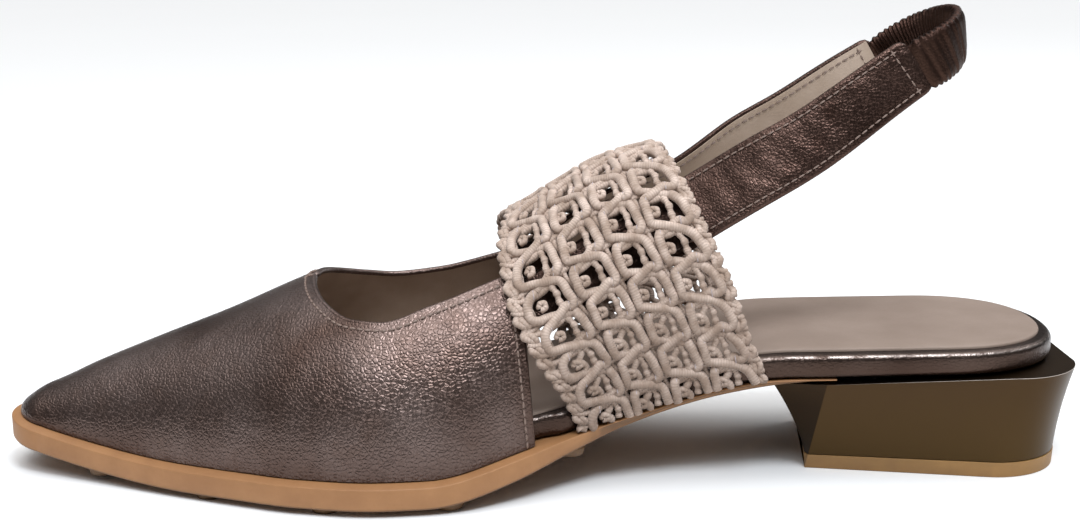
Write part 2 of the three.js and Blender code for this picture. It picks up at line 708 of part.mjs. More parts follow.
// Sweeps a flat section along points that carry a lean from the vertical
function sweptStrap(points, steps, side, section) {
  const curve = new THREE.CatmullRomCurve3(points.map((p) => p.centre), false, "centripetal");
  const leans = points.map((p) => p.lean);
  const rings = [];
  for (let k = 0; k <= steps; k++) {
    const t = k / steps;
    const centre = curve.getPoint(t);
    const forward = curve.getTangent(t);
    const slot = Math.min(leans.length - 2, Math.floor(t * (leans.length - 1)));
    const lean = lerp(leans[slot], leans[slot + 1], t * (leans.length - 1) - slot);
    const outward = new THREE.Vector3().crossVectors(forward, new THREE.Vector3(0, 0, 1)).normalize();
    outward.multiplyScalar(side);
    const up = new THREE.Vector3().crossVectors(outward, forward).normalize();
    if (up.z < 0) up.negate();
    const across = up.clone().multiplyScalar(Math.cos(lean)).addScaledVector(outward, -Math.sin(lean));
    const through = outward.clone().multiplyScalar(Math.cos(lean)).addScaledVector(up, Math.sin(lean));
    rings.push(section(t).map(([w, h]) => centre.clone().addScaledVector(across, w).addScaledVector(through, h)));
  }
  return ringSolid(rings);
}

// Joins rings of points into a closed solid with flat ends
function ringSolid(rings) {
  const positions = [];
  const indices = [];
  const size = rings[0].length;
  const loops = rings.map((ring) => ring.map((p) => positions.push(p.x, p.y, p.z) / 3 - 1));
  for (let k = 0; k + 1 < loops.length; k++) {
    for (let i = 0; i < size; i++) {
      const j = (i + 1) % size;
      indices.push(loops[k][i], loops[k][j], loops[k + 1][j], loops[k][i], loops[k + 1][j], loops[k + 1][i]);
    }
  }
  for (let i = 1; i + 1 < size; i++) {
    indices.push(loops[0][0], loops[0][i + 1], loops[0][i]);
    indices.push(loops[loops.length - 1][0], loops[loops.length - 1][i], loops[loops.length - 1][i + 1]);
  }
  return closedGeometry(positions, indices);
}

function flatSection(width, thickness) {
  const w = width / 2;
  const h = thickness / 2;
  const bevel = 0.3 * thickness;
  return [[-w, -h + bevel], [-w, h - bevel], [-w + bevel, h], [w - bevel, h], [w, h - bevel], [w, -h + bevel],
    [w - bevel, -h], [-w + bevel, -h]];
}

function slingStrap(side) {
  const width = (t) => {
    const widened = lerp(slingRootWidth, slingWidth, blend(2.4 * t));
    return widened + (slingEndWidth - slingWidth) * blend(2 * t - 1);
  };
  return sweptStrap(slingPath(side), 22, -side, (t) => flatSection(width(t), slingThickness));
}

// Elastic: gathered tube from one leg's end round the back to the other's
function heelElastic() {
  const inner = slingLegs.inner[slingLegs.inner.length - 1];
  const outer = slingLegs.outer[slingLegs.outer.length - 1];
  const backX = xAt(slingBack.along);
  const backZ = slingBack.height * instepHeight;
  const endX = xAt(inner.along) + elasticGap;
  const radius = inner.side * ballWidth;
  const points = [];
  const turns = 10;
  for (let k = 0; k <= turns; k++) {
    const angle = -Math.PI / 2 + (k / turns) * Math.PI;
    const reach = Math.cos(angle) ** 0.8;
    const endZ = instepHeight * lerp(inner.height, outer.height, k / turns) + 0.8;
    points.push({
      centre: new THREE.Vector3(lerp(endX, backX, reach), radius * Math.sin(angle), lerp(endZ, backZ, reach)),
      lean: THREE.MathUtils.degToRad(lerp(inner.lean, slingBack.lean, reach)),
    });
  }
  const steps = 2 * ruffleCount;
  const section = (t) => {
    const ruffle = (Math.round(t * steps) % 2 === 0 ? -1 : 1) * ruffleDepth;
    return flatSection(elasticWidth + ruffle, elasticThickness - ruffleDepth + ruffle);
  };
  return sweptStrap(points, steps, 1, section);
}

const finishes = {
  tanRubber: { color: 0xa87a50, roughness: 0.6, metalness: 0.0 },
  darkTan: { color: 0x8a6a40, roughness: 0.6, metalness: 0.0 },
  bronzeLacquer: { color: 0x4c4034, roughness: 0.3, metalness: 0.5 },
  bronzeLeather: { color: 0x5a4a42, roughness: 0.42, metalness: 0.6 },
  beigeLeather: { color: 0xa6968a, roughness: 0.7, metalness: 0.0 },
  beigeCord: { color: 0xb5a594, roughness: 0.85, metalness: 0.0 },
};

const shoe = new THREE.Group();
function addPiece(name, geometry, finish) {
  geometry.computeVertexNormals();
  const mesh = new THREE.Mesh(geometry, new THREE.MeshStandardMaterial(finish));
  mesh.name = name;
  shoe.add(mesh);
}

addPiece("outsole", outsole(), finishes.tanRubber);
addPiece("heel_block", heelBlock(), finishes.bronzeLacquer);
addPiece("top_lift", topLift(), finishes.darkTan);
addPiece("footbed", footbed(), finishes.bronzeLeather);
addPiece("sock_lining", sockLining(), finishes.beigeLeather);
addPiece("vamp", vamp(), finishes.bronzeLeather);
addPiece("instep_band", instepBand(), finishes.beigeCord);
addPiece("sling_strap_inner", slingStrap(-1), finishes.bronzeLeather);
addPiece("sling_strap_outer", slingStrap(1), finishes.bronzeLeather);
addPiece("heel_elastic", heelElastic(), finishes.bronzeLeather);

export default shoe;
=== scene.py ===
"""Slingback sandal with a pointed toe and a crocheted instep band: the dressed model.

Sizes are in millimetres unless a name says otherwise, and are turned into metres as each mesh is made.
The frame's origin is the middle of the heel's rest face, with the toe towards -X and +Z up.
"""

import json
import logging
import math
from collections.abc import Callable, Iterable, Sequence
from dataclasses import dataclass, field
from enum import Enum

import bmesh
import bpy
import numpy as np
from bpy.types import ID, Material, Mesh, Node, NodeSocket, Object
from mathutils import Matrix, Vector

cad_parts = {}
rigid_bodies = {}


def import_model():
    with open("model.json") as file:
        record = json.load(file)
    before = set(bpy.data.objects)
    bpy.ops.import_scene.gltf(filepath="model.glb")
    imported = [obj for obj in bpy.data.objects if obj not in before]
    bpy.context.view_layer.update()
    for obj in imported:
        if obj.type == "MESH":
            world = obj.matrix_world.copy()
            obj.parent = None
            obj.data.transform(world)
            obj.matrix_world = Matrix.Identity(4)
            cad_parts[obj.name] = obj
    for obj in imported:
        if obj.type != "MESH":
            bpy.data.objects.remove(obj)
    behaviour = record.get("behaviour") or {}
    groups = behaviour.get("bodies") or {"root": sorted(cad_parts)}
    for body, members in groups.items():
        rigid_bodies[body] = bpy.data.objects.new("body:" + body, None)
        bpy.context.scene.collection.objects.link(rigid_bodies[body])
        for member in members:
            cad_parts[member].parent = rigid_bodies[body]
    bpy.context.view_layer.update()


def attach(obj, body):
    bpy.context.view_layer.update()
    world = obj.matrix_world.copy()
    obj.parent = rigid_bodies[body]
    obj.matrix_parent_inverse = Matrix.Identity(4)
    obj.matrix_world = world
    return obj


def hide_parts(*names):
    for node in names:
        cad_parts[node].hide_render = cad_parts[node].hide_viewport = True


LOG = logging.getLogger("sandal")
MM = 0.001
ROOT = "root"
MERGE_MM = 0.002
CRISP_DEG = 38.0
Points = np.ndarray


class Side(Enum):
    """The two sides of the shoe, as signs along Y."""

    INNER = -1
    OUTER = 1


def blend(t: Points | float) -> Points:
    """Smooth step from 0 to 1 as t goes from 0 to 1."""
    u = np.clip(t, 0.0, 1.0)
    return u * u * (3 - 2 * u)


def lerp(a: Points | float, b: Points | float, t: Points | float) -> Points:
    """Straight mix of a and b."""
    return a + (b - a) * t


def unit(v: Points) -> Points:
    """Rows of v at length 1."""
    return v / np.maximum(np.linalg.norm(v, axis=-1, keepdims=True), 1e-9)


def distances(path: Points) -> Points:
    """Distance along a path of each of its points."""
    return np.concatenate([[0.0], np.cumsum(np.linalg.norm(np.diff(path, axis=0), axis=1))])


def oval(size: int, wide: float, thick: float) -> tuple[Points, Points]:
    """A squared oval, as shares of its half width and half thickness.

    Args:
        size: Points round it.
        wide: Power for the width; the nearer to 0, the squarer.
        thick: Power for the thickness.

    Returns:
        Shares across and outwards, each from -1 to 1.
    """
    angle = np.linspace(0, 2 * math.pi, size, endpoint=False)
    c, s = np.cos(angle), np.sin(angle)
    return np.sign(c) * np.abs(c) ** wide, np.sign(s) * np.abs(s) ** thick


class Column:
    """A smooth line through a table's column, with no overshoot between its rows."""

    def __init__(self, xs: Sequence[float], ys: Sequence[float]) -> None:
        """Works out the tangents.

        Args:
            xs: Places, rising.
            ys: Values there.
        """
        self.xs = np.array(xs, float)
        self.ys = np.array(ys, float)
        slopes = np.diff(self.ys) / np.diff(self.xs)
        self.tangents = np.concatenate([slopes[:1], np.zeros(len(slopes) - 1), slopes[-1:]])
        for i in range(1, len(slopes)):
            if slopes[i - 1] * slopes[i] > 0:
                self.tangents[i] = 2 * slopes[i - 1] * slopes[i] / (slopes[i - 1] + slopes[i])

    def __call__(self, x: Points | float) -> Points:
        """Values at x.

        Args:
            x: Places in the table.

        Returns:
            The values there.
        """
        x = np.asarray(x, float)
        i = np.clip(np.searchsorted(self.xs, x, side="right") - 1, 0, len(self.xs) - 2)
        span = self.xs[i + 1] - self.xs[i]
        t = np.clip((x - self.xs[i]) / span, 0.0, 1.0)
        rise = (t**3 - 2 * t**2 + t) * self.tangents[i] + (t**3 - t**2) * self.tangents[i + 1]
        return lerp(self.ys[i], self.ys[i + 1], blend(t)) + rise * span


def columns(rows: Sequence[Sequence[float]]) -> list[Column]:
    """One Column for each value of a table whose rows start with their place."""
    table = np.array(rows, float)
    return [Column(table[:, 0], table[:, k]) for k in range(1, table.shape[1])]


def smooth_path(points: Points, count: int) -> Points:
    """A natural cubic spline through points, sampled evenly by its chord parameter.

    Args:
        points: Control points, one per row; any number of values each.
        count: Samples along the path.

    Returns:
        The sampled rows.
    """
    points = np.asarray(points, float)
    n = len(points)
    chord = np.maximum(np.linalg.norm(np.diff(points[:, :3], axis=0), axis=1), 1e-6)
    t = np.concatenate([[0.0], np.cumsum(chord**0.75)])
    h = np.diff(t)
    system = np.eye(n)
    right = np.zeros_like(points)
    for i in range(1, n - 1):
        system[i, i - 1 : i + 2] = h[i - 1], 2 * (h[i - 1] + h[i]), h[i]
        right[i] = 6 * ((points[i + 1] - points[i]) / h[i] - (points[i] - points[i - 1]) / h[i - 1])
    bend = np.linalg.solve(system, right)
    s = np.linspace(0, t[-1], count)
    k = np.clip(np.searchsorted(t, s, side="right") - 1, 0, n - 2)
    a = ((t[k + 1] - s) / h[k])[:, None]
    b = ((s - t[k]) / h[k])[:, None]
    curve = a * points[k] + b * points[k + 1]
    return curve + ((a**3 - a) * bend[k] + (b**3 - b) * bend[k + 1]) * (h[k] ** 2)[:, None] / 6


@dataclass(frozen=True)
class Last:
    """The form that the shoe is built on, from a few driving sizes and short tables of shares."""

    shoe_length: float = 252.5
    ball_width: float = 80.5
    seat_height: float = 24.8
    instep_height: float = 74.6
    toe_spring: float = 6.2
    stud_height: float = 1.5
    gap: float = 0.3
    heel_centre: float = 0.8733
    edge_height: float = 5.3
    waist_edge: float = 2.1
    tail_edge: float = 1.1
    ledge_width: float = 2.2
    ledge_drop: float = 0.7
    waist_flare: float = 2.0
    toe_closure: float = 9.0
    crown_closure: float = 7.5
    seat_closure: float = 29.0
    seat_overhang: float = 2.2
    seat_roundness: float = 2.2
    ridge_shift: float = -2.0
    ball_front: float = 0.192
    ball_back: float = 0.414
    seat_front: float = 0.786
    sole_tail: float = 0.784
    spring_curve: float = 1.85
    rise_curve: float = 1.45
    edge_fade: tuple[float, float] = (0.455, 0.64)
    tail_fade: float = 0.7
    ledge_fade: tuple[float, float] = (0.5, 0.79)
    tail_ledge: float = -0.8
    flare_fade: tuple[float, float] = (0.48, 0.63)
    drop_fade: tuple[float, float] = (0.48, 0.6)
    plan: tuple = (
        (0.038, 0.144, 0.137), (0.101, 0.235, 0.222), (0.168, 0.337, 0.304), (0.24, 0.44, 0.38),
        (0.299, 0.512, 0.425), (0.366, 0.55, 0.45), (0.43, 0.533, 0.45), (0.485, 0.472, 0.429),
        (0.541, 0.388, 0.389), (0.596, 0.339, 0.357), (0.652, 0.332, 0.343), (0.715, 0.345, 0.348),
        (0.786, 0.355, 0.357), (0.893, 0.353, 0.355),
    )
    ridge: tuple = (
        (0.017, 0.238, 2.0, 0.0), (0.038, 0.26, 2.0, 0.0), (0.087, 0.333, 2.0, 0.0),
        (0.147, 0.413, 2.0, 0.0), (0.216, 0.501, 2.02, 0.0), (0.275, 0.586, 2.05, 0.0),
        (0.309, 0.632, 2.05, 0.0), (0.37, 0.7, 2.05, 0.0), (0.438, 0.737, 2.07, 0.0),
        (0.489, 0.775, 2.1, 0.003), (0.537, 0.862, 2.25, 0.018), (0.578, 0.938, 2.4, 0.028),
        (0.62, 0.978, 2.5, 0.032), (0.675, 1.0, 2.5, 0.03), (0.723, 1.015, 2.5, 0.03),
    )
    shapes: dict = field(default_factory=dict)

    def __post_init__(self) -> None:
        """Turns the tables into smooth columns."""
        self.shapes["inner"], self.shapes["outer"] = columns(self.plan)
        self.shapes["height"], self.shapes["fullness"], self.shapes["swell"] = columns(self.ridge)

    @property
    def toe_x(self) -> float:
        """Place of the outsole's tip."""
        return -self.heel_centre * self.shoe_length

    @property
    def tip(self) -> float:
        """Place of the last's own tip."""
        return self.toe_x + self.ledge_width

    @property
    def seat_back(self) -> float:
        """Place of the footbed's back."""
        return self.x_at(1.0) + self.seat_overhang

    def x_at(self, along: Points | float) -> Points:
        """Place of a share of the shoe's length."""
        return self.toe_x + np.asarray(along) * self.shoe_length

    def along_at(self, x: Points | float) -> Points:
        """Share of the shoe's length at a place."""
        return (np.asarray(x) - self.toe_x) / self.shoe_length

    def blend_over(self, x: Points, start: float, end: float) -> Points:
        """Smooth step between two shares of the length."""
        return blend((x - self.x_at(start)) / (self.x_at(end) - self.x_at(start)))

    def tread(self, x: Points) -> Points:
        """Height of the outsole's tread.

        Args:
            x: Places along the shoe.

        Returns:
            The heights.
        """
        x = np.asarray(x, float)
        front = self.x_at(self.ball_front)
        spring = np.clip((front - x) / (front - self.toe_x), 0, 2) ** self.spring_curve
        back = self.x_at(self.ball_back)
        run = np.clip((x - back) / (self.x_at(self.seat_front) - back), 0, 1)
        rise = self.seat_height - self.stud_height - self.tail_edge
        lifted = rise * np.sin(run * math.pi / 2) ** self.rise_curve
        return self.stud_height + self.toe_spring * spring + lifted

    def edge(self, x: Points) -> Points:
        """Height of the outsole's side."""
        waist = lerp(self.waist_edge, self.tail_edge, self.blend_over(x, self.tail_fade, self.sole_tail))
        return lerp(self.edge_height, waist, self.blend_over(x, *self.edge_fade))

    def ledge(self, x: Points) -> Points:
        """Reach of the outsole beyond the last."""
        return lerp(self.ledge_width, self.tail_ledge, self.blend_over(x, *self.ledge_fade))

    def flare(self, x: Points) -> Points:
        """Lean of the waist's edge outwards."""
        return self.waist_flare * self.blend_over(x, *self.flare_fade)

    def sole_top(self, x: Points) -> Points:
        """Height of the outsole's inner top."""
        drop = self.ledge_drop * (1 - self.blend_over(x, *self.drop_fade))
        return self.tread(x) + self.edge(x) + drop

    def foot(self, x: Points) -> Points:
        """Height at which the upper meets the outsole."""
        return self.sole_top(x) + self.gap

    def half_width(self, sign: Points | int, x: Points) -> Points:
        """Half width of the plan on one side, closed round at toe and seat.

        Args:
            sign: Below 0 for the inner side, above it for the outer.
            x: Places along the shoe.

        Returns:
            The half widths.
        """
        x = np.asarray(x, float)
        along = self.along_at(x)
        share = np.where(np.asarray(sign) < 0, self.shapes["inner"](along), self.shapes["outer"](along))
        toe = np.clip((self.tip + self.toe_closure - x) / self.toe_closure, 0, 1)
        seat = np.clip((x - self.seat_back + self.seat_closure) / self.seat_closure, 0, 1)
        closed = (1 - seat**self.seat_roundness) ** (1 / self.seat_roundness)
        return self.ball_width * share * np.sqrt(1 - toe**2) * closed

    def point(self, x: Points, share: Points) -> Points:
        """Points of the last's surface.

        Args:
            x: Places along the shoe.
            share: Places round it, from the inner foot (-1) over the ridge (0) to the outer foot (1).

        Returns:
            An array with x, y and z in its last axis.
        """
        x, share = np.broadcast_arrays(np.asarray(x, float), np.asarray(share, float))
        along = self.along_at(x)
        sign = np.where(share < 0, -1, 1)
        angle = (1 - np.minimum(np.abs(share), 1.0)) * math.pi / 2
        full = self.shapes["fullness"](along)
        foot = self.foot(x)
        tip = np.clip((self.tip + self.crown_closure - x) / self.crown_closure, 0, 1)
        crown = (self.instep_height * self.shapes["height"](along) - foot) * np.sqrt(1 - tip**2)
        width = self.half_width(sign, x)
        out = width * np.maximum(np.cos(angle), 0) ** (2 / full)
        bulge = self.ball_width * self.shapes["swell"](along) * np.sin(2 * angle)
        shift = self.ridge_shift * np.sin(angle) * width / (0.5 * self.ball_width)
        z = foot + crown * np.sin(angle) ** (2 / full)
        return np.stack([x, sign * (out + bulge) + shift, z], -1)

    def normal(self, x: Points, share: Points) -> Points:
        """Outward directions of the surface.

        Args:
            x: Places along the shoe.
            share: Places round it, from -1 over 0 to 1.

        Returns:
            Directions of length 1.
        """
        x, share = np.broadcast_arrays(np.asarray(x, float), np.asarray(share, float))
        turn = np.where(share > 0.99, -0.01, 0.01)
        here = self.point(x, share)
        ahead = self.point(x + 0.4, share) - self.point(x - 0.4, share)
        around = (self.point(x, share + turn) - here) * np.sign(turn)[..., None]
        normal = unit(np.cross(around, ahead))
        out = np.stack([0 * x, here[..., 1], here[..., 2] - self.foot(x)], -1)
        return normal * np.where((normal * out).sum(-1) < 0, -1, 1)[..., None]

    def offset(self, x: Points, share: Points, distance: Points | float) -> Points:
        """Points at a distance outside the surface, with the feet kept on the outsole.

        Args:
            x: Places along the shoe.
            share: Places round it, from -1 over 0 to 1.
            distance: How far outside, below 0 for inside.

        Returns:
            The points.
        """
        x, share = np.broadcast_arrays(np.asarray(x, float), np.asarray(share, float))
        normal = self.normal(x, share)
        at_foot = np.abs(share) > 0.999
        normal[at_foot, 2] = 0
        normal = unit(normal)
        at_tip = x - self.tip < 0.05
        normal[at_tip] = (-1, 0, 0)
        made = self.point(x, share) + normal * np.asarray(distance)[..., None]
        grounded = at_foot | at_tip
        made[grounded, 2] = self.foot(made[grounded, 0])
        return made

    def share_at(self, x: Points, height: Points) -> Points:
        """Share of the arc at which the surface reaches a height.

        Args:
            x: Places along the shoe.
            height: Heights over the floor.

        Returns:
            Shares from the ridge (0) to the foot (1).
        """
        along = self.along_at(x)
        foot = self.foot(x)
        top = self.instep_height * self.shapes["height"](along)
        risen = np.clip((height - foot) / (top - foot), 0, 1)
        return 1 - np.arcsin(risen ** (self.shapes["fullness"](along) / 2)) / (math.pi / 2)

    def plan_rows(self, xs: Points, reach: Callable[[Points], Points], tail: float) -> tuple[Points, Points]:
        """Plan points of the outer and inner sides, moved out from the last's plan.

        Args:
            xs: Stations.
            reach: Distance outwards at each station.
            tail: The plan's last station.

        Returns:
            Outer and inner rows of x and y.
        """
        a = np.maximum(xs - 0.05, self.tip + 0.001)
        b = np.minimum(xs + 0.05, tail - 0.001)
        rows = []
        for sign in (1, -1):
            slope = (self.half_width(sign, b) - self.half_width(sign, a)) / (b - a)
            normal = unit(np.stack([-slope, np.ones_like(slope)], -1))
            out = reach(xs)
            x = xs + normal[:, 0] * out
            rows.append(np.stack([x, sign * (self.half_width(sign, xs) + normal[:, 1] * out)], -1))
        return rows[0], rows[1]


def round_stations(front: float, rear: float, front_turn: float, rear_turn: float, count: int) -> Points:
    """Stations close together at a plan's round ends.

    Args:
        front: First station.
        rear: Last station.
        front_turn: Length of the front's round stretch.
        rear_turn: Length of the rear's, or 0.
        count: How many stretches in all.

    Returns:
        The stations, rising.
    """
    turn = max(6, count // 6)
    arc = np.linspace(0, math.pi / 2, turn, endpoint=False)
    head = front + front_turn * (1 - np.cos(arc))
    rest = np.linspace(front + front_turn, rear - rear_turn, count - turn * (2 if rear_turn else 1) + 1)
    if not rear_turn:
        return np.concatenate([head, rest])
    tail = rear - rear_turn * (1 - np.sin(np.linspace(0, math.pi / 2, turn + 1)[1:]))
    return np.concatenate([head, rest, tail])


def linked(name: str, data: ID) -> Object:
    """Puts a new object into the scene.

    Args:
        name: Its name.
        data: Its mesh, light or camera.

    Returns:
        The object.
    """
    made = bpy.data.objects.new(name, data)
    bpy.context.scene.collection.objects.link(made)
    return made


def worked_mesh(piece: Object) -> Mesh:
    """The plain mesh that comes out of a piece's modifiers, which are then removed.

    Args:
        piece: The piece.

    Returns:
        The mesh.
    """
    graph = bpy.context.evaluated_depsgraph_get()
    graph.update()
    mesh = bpy.data.meshes.new_from_object(piece.evaluated_get(graph), depsgraph=graph)
    piece.modifiers.clear()
    return mesh


def mesh_object(
    name: str,
    points: Points,
    faces: Iterable[Sequence[int]],
    smooth: bool = True,
    crisp_deg: float = CRISP_DEG,
) -> Object:
    """Makes an object from points in millimetres, with doubles merged and faces turned outwards.

    Args:
        name: The piece's name.
        points: Corners.
        faces: Corner numbers of each face.
        smooth: Whether its faces are shaded smooth.
        crisp_deg: Angle past which an edge is left crisp.

    Returns:
        The linked object.
    """
    mesh = bpy.data.meshes.new(name)
    mesh.from_pydata((np.asarray(points, float).reshape(-1, 3) * MM).tolist(), [], list(faces))
    made = bmesh.new()
    made.from_mesh(mesh)
    bmesh.ops.remove_doubles(made, verts=made.verts, dist=MERGE_MM * MM)
    bmesh.ops.dissolve_degenerate(made, edges=made.edges, dist=MERGE_MM * MM)
    bmesh.ops.recalc_face_normals(made, faces=made.faces)
    for edge in made.edges:
        if len(edge.link_faces) == 2 and edge.calc_face_angle(0.0) > math.radians(crisp_deg):
            edge.smooth = False
    made.to_mesh(mesh)
    made.free()
    mesh.polygons.foreach_set("use_smooth", [smooth] * len(mesh.polygons))
    return linked(name, mesh)


def ring_faces(rows: int, size: int) -> list[tuple[int, ...]]:
    """Faces that join rings of corners, each ring closed on itself, with both ends capped.

    Args:
        rows: How many rings.
        size: Corners in each.

    Returns:
        Corner numbers of each face, the two caps last.
    """
    faces: list[tuple[int, ...]] = []
    for k in range(rows - 1):
        for i in range(size):
            j = (i + 1) % size
            a = k * size
            faces.append((a + i, a + j, a + size + j, a + size + i))
    faces.append(tuple(reversed(range(size))))
    faces.append(tuple((rows - 1) * size + i for i in range(size)))
    return faces


def stack_object(name: str, levels: Sequence[tuple[Points, Points]], crisp_deg: float = CRISP_DEG) -> Object:
    """A solid from plan loops stacked upwards, each an outer and an inner row of points.

    Args:
        name: The piece's name.
        levels: Loops from bottom to top.
        crisp_deg: Angle past which an edge is left crisp.

    Returns:
        The linked object.
    """
    loops = [np.concatenate([outer, inner[::-1]]) for outer, inner in levels]
    size = len(loops[0])
    faces = ring_faces(len(loops), size)[:-2]
    for first, flip in ((0, False), ((len(loops) - 1) * size, True)):
        for i in range(size // 2 - 1):
            quad = (first + i, first + size - 1 - i, first + size - 2 - i, first + i + 1)
            faces.append(quad[::-1] if flip else quad)
    return mesh_object(name, np.concatenate(loops), faces, True, crisp_deg)


def wall_object(name: str, outer: Points, inner: Points, slit: Callable[[int, int], bool]) -> Object:
    """A wall between two grids of points, with rims wherever a cell is left out.

    Args:
        name: The piece's name.
        outer: Grid of the outer face.
        inner: Grid of the inner face.
        slit: Says which cells are left out.

    Returns:
        The linked object.
    """
    rows, cols = outer.shape[:2]
    count = rows * cols
    faces: list[tuple[int, ...]] = []

    def filled(i: int, j: int) -> bool:
        """Whether a cell is part of the wall."""
        return 0 <= i < rows - 1 and 0 <= j < cols - 1 and not slit(i, j)

    for i in range(rows - 1):
        for j in range(cols - 1):
            if not filled(i, j):
                continue
            a, b, c, d = i * cols + j, i * cols + j + 1, (i + 1) * cols + j + 1, (i + 1) * cols + j
            faces += [(a, b, c, d), (a + count, d + count, c + count, b + count)]
            rims = ((i - 1, j, a, b), (i + 1, j, c, d), (i, j - 1, d, a), (i, j + 1, b, c))
            faces += [(p, p + count, q + count, q) for m, n, p, q in rims if not filled(m, n)]
    return mesh_object(name, np.concatenate([outer.reshape(-1, 3), inner.reshape(-1, 3)]), faces)


def line_object(name: str, paths: Sequence[Points], radii: Sequence[Points] | None = None) -> Object:
    """An object of loose edges that follows paths, for a node tree to work on.

    Args:
        name: The piece's name.
        paths: Rows of points for each path.
        radii: Half thickness at each point, kept as an attribute.

    Returns:
        The linked object.
    """
    points, edges, first = [], [], 0
    for path in paths:
        points.append(path)
        edges += [(first + i, first + i + 1) for i in range(len(path) - 1)]
        first += len(path)
    mesh = bpy.data.meshes.new(name)
    mesh.from_pydata((np.concatenate(points) * MM).tolist(), edges, [])
    if radii is not None:
        layer = mesh.attributes.new("half_thickness", "FLOAT", "POINT")
        layer.data.foreach_set("value", (np.concatenate(radii) * MM).astype(np.float32))
    return linked(name, mesh)


class Value:
    """A shader socket with arithmetic: each operator adds its Math node."""

    def __init__(self, nodes: "ShaderNodes", socket: NodeSocket) -> None:
        """Wraps an output socket.

        Args:
            nodes: The material that it is in.
            socket: The socket.
        """
        self.nodes = nodes
        self.socket = socket

    def _maths(self, operation: str, *values: "Value | float") -> "Value":
        """Adds one Math node on the given values."""
        return self.nodes.add("ShaderNodeMath", {"operation": operation}, *values)

    def __add__(self, other: "Value | float") -> "Value":
        """Sum."""
        return self._maths("ADD", self, other)

    def __radd__(self, other: float) -> "Value":
        """Sum, from the right."""
        return self._maths("ADD", other, self)

    def __sub__(self, other: "Value | float") -> "Value":
        """Difference."""
        return self._maths("SUBTRACT", self, other)

    def __rsub__(self, other: float) -> "Value":
        """Difference, from the right."""
        return self._maths("SUBTRACT", other, self)

    def __mul__(self, other: "Value | float") -> "Value":
        """Product."""
        return self._maths("MULTIPLY", self, other)

    def __pow__(self, other: "Value | float") -> "Value":
        """Power."""
        return self._maths("POWER", self, other)

    def sine(self) -> "Value":
        """Sine of the value, in radians."""
        return self._maths("SINE", self)

    def clamped(self) -> "Value":
        """The value kept between 0 and 1."""
        return self.nodes.add("ShaderNodeClamp", {}, self, 0.0, 1.0)

    def stretched(self, low: float, high: float) -> "Value":
        """The value mapped so that low becomes 0 and high becomes 1, and kept between."""
        return ((self - low) * (1 / (high - low))).clamped()


